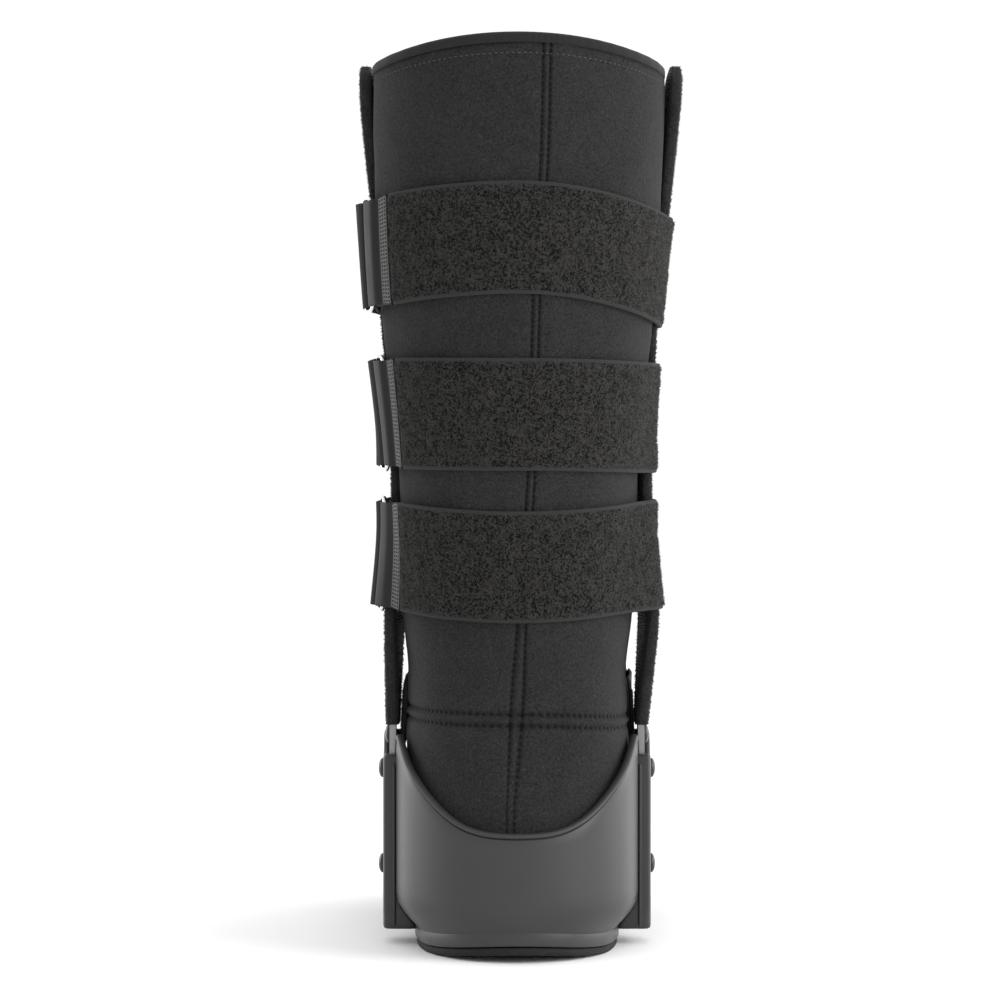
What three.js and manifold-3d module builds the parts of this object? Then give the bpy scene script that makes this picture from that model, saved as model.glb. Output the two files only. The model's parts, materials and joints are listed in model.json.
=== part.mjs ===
// Tall walking boot with two side uprights: a padded liner, a moulded heel shell,
// a rocker outsole, three calf straps, an ankle strap and a forefoot strap.
// Millimetres, +Z up, toe towards +Y. The origin lies on the flat of the sole, under the leg's axis.

import * as THREE from "three";
import { mergeVertices } from "three/addons/utils/BufferGeometryUtils.js";
import Module from "manifold-3d";

const wasm = await Module();
wasm.setup();

// Fits
const CLEARANCE = 0.3;
const SOFT_CLEARANCE = 0.85;
const LOOP_CLEARANCE = 0.6;
const SLEEVE_CLIP = 1.6;
const POCKET_CLIP = 0.2;
const PRESS_MARGIN = 8;
const LINER_PLAY = 1.5;
const HEEL_PLAY = 3;
const BAR_PLAY = 0.5;

// Sole and shell
const SOLE_LENGTH = 280;
const HEEL_BACK = 75;
const SOLE_THICKNESS = 3.5;
const BAND_HEIGHT = 6;
const FLOOR_THICKNESS = 7.2;
const FLAT_BACK = 30;
const FLAT_FRONT = 105;
const HEEL_LIFT = 8.2;
const TOE_LIFT = 14;
const SHELL_WALL = 3;
const WALL_OVERLAP = 1;
const SOLE_INSET = 0.8;
const LEAST_WALL = 6;
const TIP_HEIGHT = 98;
const FLARE_HEIGHT = 14;
const STATIONS = 60;

// Padded liner
const LINER_HEIGHT = 408;
const CALF_WIDTH = 135;
const CALF_DEPTH = 130;
const ANKLE_WIDTH = 101;
const LINER_WALL = 5;
const FOOT_LENGTH = 237;
const INSTEP_HEIGHT = 107;
const LINER_SIDES = 36;
const LEG_ROUNDNESS = 2.2;
const FOOT_ROUNDNESS = 2.45;
const BINDING_HEIGHT = 4;
const BINDING_OVERHANG = 0.7;
const FLAP_THICKNESS = 2.5;
const FLAP_HALF_SPREAD = 52;

// Uprights and their sleeves
const BAR_WIDTH = 19;
const BAR_THICKNESS = 3;
const BAR_BELOW_TIP = 16;
const BAR_FOOT = 10;
const BAR_FORWARD = 8;
const SLEEVE_WIDTH = 32;
const SLEEVE_FABRIC = 1.3;
const SLEEVE_FOOT = 101;
const SLEEVE_BELOW_RIM = 6;
const SLEEVE_TIP_LENGTH = 22;
const SLEEVE_TURN = 8;
const SOCKET_FOOT = 7;
const SOCKET_TOP = 87;
const SOCKET_WALL = 3;
const SOCKET_WIDTH = 28;
const SOCKET_ROOT = 0.8;

// Rivets
const RIVET_SHANK = 4;
const RIVET_HEAD = 9;
const RIVET_RISE = 2;
const RIVET_LOW = 36;
const RIVET_HIGH = 80;
const RIVET_ANKLE = 95.8;

// Straps
const STRAP_WIDTH = 50;
const STRAP_THICKNESS = 2.2;
const ANKLE_STRAP_WIDTH = 28;
const ANKLE_STRAP_HEIGHT = 105;
const ANKLE_STRAP_TILT = 14;
const FOREFOOT_STRAP_WIDTH = 38;
const FOREFOOT_STRAP_FORWARD = 112;
const FOREFOOT_STRAP_CENTRE = 36;
const FOREFOOT_RIVET_ANGLE = 84;
const FOREFOOT_SHANK = 5;
const ANKLE_SHANK_END = 0.8;
const WELD_ANGLE = -56;
const CHAFE_THICKNESS = 1.3;
const LOOP_NARROWING = 4;
const RING_WIRE = 2.2;
const RING_SPAN = 11;
const RING_PLAY = 1;
const RING_CORNER = 3;
const RING_SIDES = 5;
const TUCK_NARROWING = 4;
const END_TAPER = 0.62;
const CALF_FREE_END = 196;
const ANKLE_ENDS = { start: 84, lap: 93, under: -82, over: -84, settled: -106, ring: -125, free: 176 };
const FOREFOOT_ENDS = { start: 76, lap: 92, under: -76, over: -76, settled: -90, ring: -108, free: 172 };

// Places that follow from the sizes above
const SHELL_HALF_WIDTH = ANKLE_WIDTH / 2 + LINER_PLAY + SHELL_WALL;
const BAR_SEAT = SHELL_HALF_WIDTH + BAR_PLAY + BAR_THICKNESS / 2;
const SLEEVE_TOP = LINER_HEIGHT - SLEEVE_BELOW_RIM;
const BAR_TOP = SLEEVE_TOP - BAR_BELOW_TIP;
const SOCKET_FACE = BAR_SEAT + BAR_THICKNESS / 2 + SOCKET_WALL;
const SLEEVE_THICKNESS = BAR_THICKNESS + 2 * CLEARANCE + 2 * SLEEVE_FABRIC;
const FLOOR_HEIGHT = SOLE_THICKNESS + CLEARANCE + FLOOR_THICKNESS;
const STEP_HEIGHT = SOLE_THICKNESS + CLEARANCE + BAND_HEIGHT;
const LINER_HEEL = HEEL_BACK - SHELL_WALL - HEEL_PLAY;
const STRAP_STEP = 10;

// Sole and shell outline: along is a share of SOLE_LENGTH from the heel,
// sole and shell are shares of SHELL_HALF_WIDTH, right side from heel to toe.
const PLAN_ROWS = [
  { along: 0.0, sole: 0, shell: 0, inset: 0.012 },
  { along: 0.03, sole: 0.42, shell: 0.5, inset: 0.012 },
  { along: 0.113, sole: 0.71, shell: 0.855, inset: 0.01 },
  { along: 0.22, sole: 0.83, shell: 0.995, inset: 0 },
  { along: 0.36, sole: 0.86, shell: 1.0, inset: 0 },
  { along: 0.5, sole: 0.88, shell: 0.965, inset: 0 },
  { along: 0.64, sole: 0.94, shell: 1.0, inset: 0 },
  { along: 0.77, sole: 0.94, shell: 0.99, inset: 0 },
  { along: 0.88, sole: 0.8, shell: 0.845, inset: -0.002 },
  { along: 0.96, sole: 0.5, shell: 0.53, inset: -0.005 },
  { along: 0.992, sole: 0, shell: 0, inset: -0.008 },
];

// Rim of the shell: along is a share of SOLE_LENGTH, height a share of TIP_HEIGHT.
const RIM_ROWS = [
  { along: 0.0, height: 0.587 },
  { along: 0.222, height: 1.0 },
  { along: 0.252, height: 0.9 },
  { along: 0.355, height: 0.89 },
  { along: 0.42, height: 0.74 },
  { along: 0.51, height: 0.53 },
  { along: 0.62, height: 0.43 },
  { along: 0.78, height: 0.38 },
  { along: 1.0, height: 0.34 },
];

// Leg of the liner: back and front are shares of CALF_DEPTH from the axis, the heights
// shares of LINER_HEIGHT, width a share of CALF_WIDTH, dip a share of LINER_HEIGHT at the sides.
const LEG_ROWS = [
  { back: 0.477, backHeight: 1.0, front: 0.49, frontHeight: 0.985, width: 0.99, dip: 0.022 },
  { back: 0.49, backHeight: 0.91, front: 0.49, frontHeight: 0.9, width: 1.0, dip: 0.01 },
  { back: 0.505, backHeight: 0.8, front: 0.485, frontHeight: 0.8, width: 0.985, dip: 0 },
  { back: 0.5, backHeight: 0.69, front: 0.465, frontHeight: 0.69, width: 0.935, dip: 0 },
  { back: 0.47, backHeight: 0.58, front: 0.44, frontHeight: 0.58, width: 0.85, dip: 0 },
  { back: 0.435, backHeight: 0.47, front: 0.425, frontHeight: 0.475, width: 0.8, dip: 0 },
  { back: 0.405, backHeight: 0.37, front: 0.43, frontHeight: 0.395, width: 0.775, dip: 0 },
];

// Foot of the liner: back and front are shares of FOOT_LENGTH from the heel, the rise of the
// back above the shell's floor and the height of the front shares of INSTEP_HEIGHT,
// width a share of ANKLE_WIDTH.
const FOOT_ROWS = [
  { back: 0.075, rise: 0.985, front: 0.54, height: 1.245, width: 0.975 },
  { back: 0.05, rise: 0.74, front: 0.565, height: 1.09, width: 0.98 },
  { back: 0.012, rise: 0.46, front: 0.598, height: 0.98, width: 1.0 },
  { back: 0.0, rise: 0.24, front: 0.632, height: 0.905, width: 1.0 },
  { back: 0.04, rise: 0.03, front: 0.672, height: 0.835, width: 0.99 },
  { back: 0.15, rise: 0, front: 0.72, height: 0.775, width: 0.98 },
  { back: 0.3, rise: 0, front: 0.775, height: 0.72, width: 0.97 },
  { back: 0.48, rise: 0, front: 0.84, height: 0.67, width: 0.965 },
  { back: 0.7, rise: 0, front: 0.9, height: 0.625, width: 0.95 },
  { back: 0.965, rise: 0, front: 0.98, height: 0.585, width: 0.87 },
];

// Uprights: height is a share of LINER_HEIGHT, left and right are the distances of the
// bars from the middle plane as shares of half the CALF_WIDTH, turn a share of SLEEVE_TURN.
const UPRIGHT_ROWS = [
  { height: 0.37, left: 0.835, right: 0.902, turn: 1 },
  { height: 0.47, left: 0.785, right: 0.848, turn: 1 },
  { height: 0.58, left: 0.79, right: 0.848, turn: 1 },
  { height: 0.69, left: 0.85, right: 0.88, turn: 1 },
  { height: 0.8, left: 0.905, right: 0.95, turn: 1 },
  { height: 0.91, left: 0.98, right: 1.025, turn: 0.8 },
  { height: 0.985, left: 1.025, right: 1.075, turn: 0.5 },
];

// Calf straps: centre heights at the back, sides and front as shares of LINER_HEIGHT.
const CALF_STRAP_ROWS = [
  { name: "upper", back: 0.788, right: 0.753, front: 0.755, left: 0.77, ring: -90 },
  { name: "middle", back: 0.596, right: 0.591, front: 0.592, left: 0.597, ring: -95 },
  { name: "lower", back: 0.429, right: 0.439, front: 0.44, left: 0.44, ring: -94 },
];

const MATERIALS = {
  foam: new THREE.MeshStandardMaterial({ color: 0x313232, roughness: 0.95 }),
  tape: new THREE.MeshStandardMaterial({ color: 0x2f302f, roughness: 0.9 }),
  pile: new THREE.MeshStandardMaterial({ color: 0x2a2a29, roughness: 1.0 }),
  plush: new THREE.MeshStandardMaterial({ color: 0x353635, roughness: 1.0 }),
  webbing: new THREE.MeshStandardMaterial({ color: 0x454545, roughness: 0.6 }),
  plastic: new THREE.MeshStandardMaterial({ color: 0x3d3e3e, roughness: 0.5 }),
  rubber: new THREE.MeshStandardMaterial({ color: 0x232323, roughness: 0.85 }),
  aluminium: new THREE.MeshStandardMaterial({ color: 0xb4b6b8, roughness: 0.35, metalness: 1 }),
  steel: new THREE.MeshStandardMaterial({ color: 0xd0d2d4, roughness: 0.2, metalness: 1 }),
  blackMetal: new THREE.MeshStandardMaterial({ color: 0x1c1c1c, roughness: 0.45, metalness: 0.6 }),
};

const boot = new THREE.Group();

function addPiece(name, geometry, material) {
  const mesh = new THREE.Mesh(geometry, material);
  mesh.name = name;
  boot.add(mesh);
  return mesh;
}

const clamp = THREE.MathUtils.clamp;
const radians = THREE.MathUtils.degToRad;

// Value of one column of a table at a place along another column, by straight lines.
function lookUp(rows, key, place, column) {
  const last = rows.length - 1;
  if (place <= rows[0][key]) return rows[0][column];
  if (place >= rows[last][key]) return rows[last][column];
  const next = rows.findIndex((row) => row[key] > place);
  const share = (place - rows[next - 1][key]) / (rows[next][key] - rows[next - 1][key]);
  return THREE.MathUtils.lerp(rows[next - 1][column], rows[next][column], share);
}

// Triangles turned so that the body's volume is positive.
function facedOut(geometry) {
  const position = geometry.getAttribute("position");
  const index = geometry.getIndex().array;
  const corners = [new THREE.Vector3(), new THREE.Vector3(), new THREE.Vector3()];
  let volume = 0;
  for (let i = 0; i < index.length; i += 3) {
    corners.forEach((corner, k) => corner.fromBufferAttribute(position, index[i + k]));
    volume += corners[0].dot(corners[1].cross(corners[2]));
  }
  if (volume < 0) {
    for (let i = 0; i < index.length; i += 3) {
      [index[i], index[i + 1]] = [index[i + 1], index[i]];
    }
  }
  return geometry;
}

// A closed body whose skin runs through a list of rings with equally many points. The end
// rings are closed by ladders of quads, or joined to each other when the body is a loop.
function skin(rings, loop = false) {
  const size = rings[0].length;
  const index = [];
  const quad = (a, b, c, d) => index.push(a, b, c, a, c, d);
  const spans = loop ? rings.length : rings.length - 1;
  for (let i = 0; i < spans; i += 1) {
    const low = i * size;
    const high = ((i + 1) % rings.length) * size;
    for (let j = 0; j < size; j += 1) {
      const k = (j + 1) % size;
      quad(low + j, low + k, high + k, high + j);
    }
  }
  if (!loop) {
    const end = (rings.length - 1) * size;
    for (let j = 0; j < size / 2 - 1; j += 1) {
      quad(j, size - 1 - j, size - 2 - j, j + 1);
      quad(end + j, end + j + 1, end + size - 2 - j, end + size - 1 - j);
    }
  }
  const geometry = new THREE.BufferGeometry();
  const flat = rings.flat().flatMap((point) => [point.x, point.y, point.z]);
  geometry.setAttribute("position", new THREE.Float32BufferAttribute(flat, 3));
  geometry.setIndex(index);
  return facedOut(geometry);
}

function toSolid(geometry) {
  const bare = geometry.clone();
  bare.deleteAttribute("normal");
  bare.deleteAttribute("uv");
  const merged = mergeVertices(bare, 1e-4);
  const vertProperties = new Float32Array(merged.getAttribute("position").array);
  const triVerts = new Uint32Array(merged.getIndex().array);
  return new wasm.Manifold(new wasm.Mesh({ numProp: 3, vertProperties, triVerts }));
}

function toGeometry(solid) {
  const mesh = solid.getMesh();
  const geometry = new THREE.BufferGeometry();
  geometry.setAttribute("position", new THREE.Float32BufferAttribute(mesh.vertProperties, 3));
  geometry.setIndex([...mesh.triVerts]);
  return geometry;
}

function boxSolid(low, high) {
  const size = high.clone().sub(low);
  const box = new THREE.BoxGeometry(size.x, size.y, size.z);
  const middle = low.clone().add(high).multiplyScalar(0.5);
  box.translate(middle.x, middle.y, middle.z);
  return toSolid(box);
}

// Rise of the sole's underside above the ground: flat in the middle, curved up at both ends.
function rockerLift(y) {
  const back = clamp((-FLAT_BACK - y) / (HEEL_BACK - FLAT_BACK), 0, 2);
  const front = clamp((y - FLAT_FRONT) / (SOLE_LENGTH - HEEL_BACK - FLAT_FRONT), 0, 2);
  return HEEL_LIFT * back * back + TOE_LIFT * front * front;
}

// Smooth closed outline through one column of the plan table and its mirror image.
function planCurve(column) {
  const half = PLAN_ROWS.map((row) => {
    const shift = column === "sole" ? row.inset : 0;
    const y = -HEEL_BACK + (row.along + shift) * SOLE_LENGTH;
    return new THREE.Vector3(row[column] * SHELL_HALF_WIDTH, y, 0);
  });
  const mirrored = half.slice(1, -1).reverse().map((p) => new THREE.Vector3(-p.x, p.y, 0));
  return new THREE.CatmullRomCurve3([...half, ...mirrored], true, "centripetal");
}

// Points of an outline, moved inwards by a distance.
function outlinePoints(curve, inset = 0) {
  return Array.from({ length: STATIONS }, (_, i) => {
    const share = i / STATIONS;
    const point = curve.getPoint(share);
    const tangent = curve.getTangent(share);
    return point.add(new THREE.Vector3(-tangent.y, tangent.x, 0).multiplyScalar(inset));
  });
}

// A plate between two heights above the rocker's curve, cut to an outline.
function rockerPlate(low, high, outline) {
  const steps = 22;
  const start = -HEEL_BACK - 1;
  const side = new THREE.Shape();
  const heights = Array.from({ length: steps + 1 }, (_, i) => {
    const y = start + (i / steps) * (SOLE_LENGTH + 2);
    return new THREE.Vector2(y, rockerLift(y));
  });
  side.moveTo(heights[0].x, heights[0].y + low);
  heights.slice(1).forEach((p) => side.lineTo(p.x, p.y + low));
  heights.slice().reverse().forEach((p) => side.lineTo(p.x, p.y + high));
  const slab = new THREE.ExtrudeGeometry(side, { depth: 4 * SHELL_HALF_WIDTH, bevelEnabled: false });
  slab.translate(0, 0, -2 * SHELL_HALF_WIDTH);
  const upright = new THREE.Matrix4().makeBasis(
    new THREE.Vector3(0, 1, 0),
    new THREE.Vector3(0, 0, 1),
    new THREE.Vector3(1, 0, 0),
  );
  slab.applyMatrix4(upright);
  const plan = new THREE.Shape(outline.map((p) => new THREE.Vector2(p.x, p.y)));
  const prism = new THREE.ExtrudeGeometry(plan, { depth: 3 * TIP_HEIGHT, bevelEnabled: false });
  prism.translate(0, 0, -TIP_HEIGHT);
  return toSolid(slab).intersect(toSolid(prism));
}

function rimHeight(y) {
  const along = (y + HEEL_BACK) / SOLE_LENGTH;
  return lookUp(RIM_ROWS, "along", along, "height") * TIP_HEIGHT;
}

// Outline points of the shell's wall at a height, between the sole's and the full width.
function wallPoint(solePoint, shellPoint, z) {
  const share = clamp((z - STEP_HEIGHT - rockerLift(solePoint.y)) / FLARE_HEIGHT, 0, 1);
  const point = solePoint.clone().lerp(shellPoint, Math.sin((share * Math.PI) / 2));
  return point.setZ(z);
}

// Sections of the shell's wall, one at each station, up the outside and down the inside.
function wallSections() {
  const sole = planCurve("sole");
  const shell = planCurve("shell");
  const outer = [outlinePoints(sole), outlinePoints(shell)];
  const inner = [outlinePoints(sole, SHELL_WALL), outlinePoints(shell, SHELL_WALL)];
  const buried = outlinePoints(sole, WALL_OVERLAP);
  const rises = [0, 0.14, 0.36, 0.7];
  return buried.map((foot, i) => {
    const y = outer[1][i].y;
    const start = STEP_HEIGHT + rockerLift(outer[0][i].y);
    const rim = Math.max(rimHeight(y), start + LEAST_WALL);
    const edge = SHELL_WALL / 2;
    const up = rises.map((rise) => {
      return wallPoint(outer[0][i], outer[1][i], start + rise * (rim - start));
    });
    const down = rises.slice(1).reverse().map((rise) => {
      return wallPoint(inner[0][i], inner[1][i], start + rise * (rim - start));
    });
    const crown = wallPoint(outer[0][i], outer[1][i], rim);
    crown.lerp(wallPoint(inner[0][i], inner[1][i], rim), 0.5);
    return [
      foot.setZ(start - BAND_HEIGHT / 2),
      ...up,
      wallPoint(outer[0][i], outer[1][i], rim - edge),
      crown,
      wallPoint(inner[0][i], inner[1][i], rim - edge),
      ...down,
      wallPoint(inner[0][i], inner[1][i], start - BAND_HEIGHT / 2),
    ];
  });
}

// The space inside the shell's wall, drawn on past its rim.
function shellCavity() {
  const sole = outlinePoints(planCurve("sole"), SHELL_WALL);
  const shell = outlinePoints(planCurve("shell"), SHELL_WALL);
  const rises = [0, 0.2, 0.45, 0.7, 1, 1.5, TIP_HEIGHT / FLARE_HEIGHT];
  const rings = rises.map((rise) => {
    return sole.map((point, i) => {
      const start = STEP_HEIGHT + rockerLift(point.y);
      return wallPoint(point, shell[i], start + rise * FLARE_HEIGHT);
    });
  });
  return toSolid(skin(rings));
}

// Bore for a rivet that lies along X.
function rivetBore(x, y, z, length) {
  const bore = new THREE.CylinderGeometry(
    RIVET_SHANK / 2 + CLEARANCE,
    RIVET_SHANK / 2 + CLEARANCE,
    length,
    10,
  );
  bore.rotateZ(Math.PI / 2);
  bore.translate(x, y, z);
  return toSolid(bore);
}

// Side socket that an upright's foot slides into.
function socketSolid(side) {
  const reach = [SHELL_HALF_WIDTH * SOCKET_ROOT, SOCKET_FACE].map((x) => side * x);
  return boxSolid(
    new THREE.Vector3(Math.min(...reach), BAR_FORWARD - SOCKET_WIDTH / 2, SOCKET_FOOT),
    new THREE.Vector3(Math.max(...reach), BAR_FORWARD + SOCKET_WIDTH / 2, SOCKET_TOP),
  );
}

function slotSolid(side) {
  const half = BAR_THICKNESS / 2 + CLEARANCE;
  const reach = BAR_WIDTH / 2 + CLEARANCE;
  const middle = side * BAR_SEAT;
  return boxSolid(
    new THREE.Vector3(middle - half, BAR_FORWARD - reach, BAR_FOOT - CLEARANCE),
    new THREE.Vector3(middle + half, BAR_FORWARD + reach, TIP_HEIGHT + 20),
  );
}

function buildSole() {
  const outline = outlinePoints(planCurve("sole"), SOLE_INSET);
  const plate = rockerPlate(0, SOLE_THICKNESS, outline);
  addPiece("outsole", toGeometry(plate), MATERIALS.rubber);
}

function buildShell() {
  const bottom = SOLE_THICKNESS + CLEARANCE;
  let solid = rockerPlate(bottom, FLOOR_HEIGHT, outlinePoints(planCurve("sole")));
  solid = solid.add(toSolid(skin(wallSections(), true)));
  const cavity = shellCavity();
  const sole = rockerPlate(-TIP_HEIGHT / 2, bottom, outlinePoints(planCurve("sole"), -CLEARANCE));
  for (const side of [-1, 1]) {
    const socket = socketSolid(side).subtract(cavity).subtract(sole);
    solid = solid.add(socket).subtract(slotSolid(side));
    for (const height of [RIVET_LOW, RIVET_HIGH]) {
      const x = side * (SOCKET_FACE - SOCKET_WALL / 2);
      solid = solid.subtract(rivetBore(x, BAR_FORWARD, height, SOCKET_WALL + 2));
    }
  }
  solid = bored(solid, forefootBores());
  addPiece("shell", toGeometry(solid), MATERIALS.plastic);
}

// Place and turn of an upright at a height: straight in its socket, then along the table.
function uprightFrame(side, z) {
  const column = side < 0 ? "left" : "right";
  const route = [
    { height: SLEEVE_FOOT / LINER_HEIGHT, left: 0, right: 0, turn: 0 },
    ...UPRIGHT_ROWS,
  ];
  route[0][column] = (2 * BAR_SEAT) / CALF_WIDTH;
  const share = z / LINER_HEIGHT;
  const reach = lookUp(route, "height", share, column) * (CALF_WIDTH / 2);
  const turn = lookUp(route, "height", share, "turn") * radians(SLEEVE_TURN);
  return { x: side * reach, turn: side * turn };
}

// Rectangle with clipped corners round an upright's middle line, in ten points.
function uprightRing(side, z, width, thickness, clip) {
  const { x, turn } = uprightFrame(side, z);
  const half = [thickness / 2, width / 2];
  const corners = [
    [half[0], -half[1] + clip],
    [half[0], 0],
    [half[0], half[1] - clip],
    [half[0] - clip, half[1]],
    [-half[0] + clip, half[1]],
    [-half[0], half[1] - clip],
    [-half[0], 0],
    [-half[0], -half[1] + clip],
    [-half[0] + clip, -half[1]],
    [half[0] - clip, -half[1]],
  ];
  return corners.map(([across, along]) => {
    const point = new THREE.Vector3(across, along, 0);
    point.applyAxisAngle(new THREE.Vector3(0, 0, 1), turn);
    return point.add(new THREE.Vector3(x, BAR_FORWARD, z));
  });
}

function barRing(side, z) {
  const { x, turn } = uprightFrame(side, z);
  return [[1, -1], [1, 1], [-1, 1], [-1, -1]].map(([across, along]) => {
    const point = new THREE.Vector3((across * BAR_THICKNESS) / 2, (along * BAR_WIDTH) / 2, 0);
    point.applyAxisAngle(new THREE.Vector3(0, 0, 1), turn);
    return point.add(new THREE.Vector3(x, BAR_FORWARD, z));
  });
}

const TWIST_HEIGHTS = [0, 0.25, 0.5, 0.75].map((share) => {
  return THREE.MathUtils.lerp(SLEEVE_FOOT, UPRIGHT_ROWS[0].height * LINER_HEIGHT, share);
});
const UPRIGHT_HEIGHTS = [...TWIST_HEIGHTS, ...UPRIGHT_ROWS.map((row) => row.height * LINER_HEIGHT)]
  .filter((z) => z < SLEEVE_TOP - SLEEVE_TIP_LENGTH - 4);

function sleeveOuterRings(side) {
  const tipStart = SLEEVE_TOP - SLEEVE_TIP_LENGTH;
  const shares = [0, 0.35, 0.65, 0.85, 0.96, 1];
  const tip = shares.map((share) => {
    const narrow = Math.sqrt(1 - 0.93 * share * share);
    const thin = share < 0.9 ? 1 : 0.75;
    const z = tipStart + share * SLEEVE_TIP_LENGTH;
    return uprightRing(side, z, SLEEVE_WIDTH * narrow, SLEEVE_THICKNESS * thin, SLEEVE_CLIP);
  });
  const body = UPRIGHT_HEIGHTS.map((z) => {
    return uprightRing(side, z, SLEEVE_WIDTH, SLEEVE_THICKNESS, SLEEVE_CLIP);
  });
  return [...body, ...tip];
}

function buildUprights() {
  for (const side of [-1, 1]) {
    const name = side < 0 ? "left" : "right";
    const heights = [BAR_FOOT, ...UPRIGHT_HEIGHTS, BAR_TOP];
    const barRings = heights.map((z) => barRing(side, z));
    let bar = toSolid(skin(barRings));
    for (const height of [RIVET_LOW, RIVET_HIGH, RIVET_ANKLE]) {
      bar = bar.subtract(rivetBore(side * BAR_SEAT, BAR_FORWARD, height, 3 * BAR_THICKNESS));
    }
    addPiece(`upright_${name}`, toGeometry(bar), MATERIALS.aluminium);

    const pocket = [...UPRIGHT_HEIGHTS, BAR_TOP + CLEARANCE].map((z) => {
      const width = BAR_WIDTH + 2 * CLEARANCE;
      return uprightRing(side, z, width, BAR_THICKNESS + 2 * CLEARANCE, POCKET_CLIP);
    });
    const sleeve = skin([...pocket.reverse(), ...sleeveOuterRings(side)]);
    addPiece(`sleeve_${name}`, sleeve, MATERIALS.plush);
  }
}

// Ends of the liner's sections in the middle plane, from the top rim to the open toe.
function linerRows() {
  const leg = LEG_ROWS.map((row) => ({
    back: new THREE.Vector3(0, -row.back * CALF_DEPTH, row.backHeight * LINER_HEIGHT),
    front: new THREE.Vector3(0, row.front * CALF_DEPTH, row.frontHeight * LINER_HEIGHT),
    reach: (row.width * CALF_WIDTH) / 2,
    dip: row.dip * LINER_HEIGHT,
    roundness: LEG_ROUNDNESS,
    spare: row.backHeight < 1 ? 0 : BINDING_OVERHANG + CLEARANCE,
  }));
  const foot = FOOT_ROWS.map((row) => {
    const backY = -LINER_HEEL + row.back * FOOT_LENGTH;
    const floor = FLOOR_HEIGHT + SOFT_CLEARANCE + rockerLift(backY);
    return {
      back: new THREE.Vector3(0, backY, floor + row.rise * INSTEP_HEIGHT),
      front: new THREE.Vector3(0, -LINER_HEEL + row.front * FOOT_LENGTH, row.height * INSTEP_HEIGHT),
      reach: (row.width * ANKLE_WIDTH) / 2,
      dip: 0,
      roundness: FOOT_ROUNDNESS,
      spare: 0,
    };
  });
  return [...leg, ...foot];
}

// Padding gives way where a sleeve presses on it.
function pressedIn(point, spare) {
  const side = Math.sign(point.x);
  if (side === 0 || point.z < SLEEVE_FOOT - 10) return point;
  const { x, turn } = uprightFrame(side, point.z);
  const along = point.y - BAR_FORWARD;
  const beyond = Math.max(0, Math.abs(along) - SLEEVE_WIDTH / 2 - PRESS_MARGIN);
  const face = Math.abs(x) - SLEEVE_THICKNESS / 2 - along * Math.tan(Math.abs(turn));
  const limit = face - SOFT_CLEARANCE - spare + beyond;
  return point.setX(side * Math.min(Math.abs(point.x), limit));
}

function linerRing(row) {
  const middle = row.back.clone().lerp(row.front, 0.5);
  const half = row.front.clone().sub(row.back).multiplyScalar(0.5);
  const power = 2 / row.roundness;
  return Array.from({ length: LINER_SIDES }, (_, i) => {
    const angle = (i / LINER_SIDES) * 2 * Math.PI;
    const across = Math.sign(Math.sin(angle)) * Math.abs(Math.sin(angle)) ** power;
    const along = -Math.sign(Math.cos(angle)) * Math.abs(Math.cos(angle)) ** power;
    const point = middle.clone().addScaledVector(half, along);
    point.x = row.reach * across;
    point.z -= row.dip * across * across;
    return pressedIn(point, row.spare);
  });
}

// Ring moved outwards in its own plane, or inwards by a negative distance.
function offsetRing(ring, distance) {
  const count = ring.length;
  const axis = ring[0].clone().sub(ring[count / 2]).cross(new THREE.Vector3(1, 0, 0)).normalize();
  return ring.map((point, i) => {
    const tangent = ring[(i + 1) % count].clone().sub(ring[(i + count - 1) % count]);
    const outward = tangent.cross(axis).normalize();
    return point.clone().addScaledVector(outward, distance);
  });
}

const LINER_OUTER = linerRows().map(linerRing);
const LINER_INNER = LINER_OUTER.map((ring) => offsetRing(ring, -LINER_WALL));

function buildLiner() {
  const inner = LINER_INNER.slice().reverse();
  addPiece("liner", skin([...LINER_OUTER, ...inner], true), MATERIALS.foam);
}

// Tape over the liner's top edge.
function buildBinding() {
  const up = new THREE.Vector3(0, 0, 1);
  const outer = offsetRing(LINER_OUTER[0], BINDING_OVERHANG);
  const inner = offsetRing(LINER_INNER[0], -BINDING_OVERHANG);
  const sections = outer.map((point, i) => {
    const far = inner[i];
    const at = (share, height) => point.clone().lerp(far, share).addScaledVector(up, height);
    return [
      at(0, CLEARANCE),
      at(0, CLEARANCE + BINDING_HEIGHT * 0.6),
      at(0.25, CLEARANCE + BINDING_HEIGHT),
      at(0.75, CLEARANCE + BINDING_HEIGHT),
      at(1, CLEARANCE + BINDING_HEIGHT * 0.6),
      at(1, CLEARANCE),
    ];
  });
  addPiece("top_binding", skin(sections, true), MATERIALS.tape);
}

// Overlapping front of the liner, down to the instep.
function flapRings(distance) {
  const spread = Math.round((FLAP_HALF_SPREAD / 360) * LINER_SIDES);
  const middle = LINER_SIDES / 2;
  const rows = LINER_OUTER.slice(0, LEG_ROWS.length + 1);
  return rows.map((ring) => offsetRing(ring, distance).slice(middle - spread, middle + spread + 1));
}

function buildFlap() {
  const near = flapRings(CLEARANCE);
  const far = flapRings(CLEARANCE + FLAP_THICKNESS);
  const sections = near.map((points, i) => [...points, ...far[i].slice().reverse()]);
  addPiece("front_flap", skin(sections), MATERIALS.foam);
}

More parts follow.
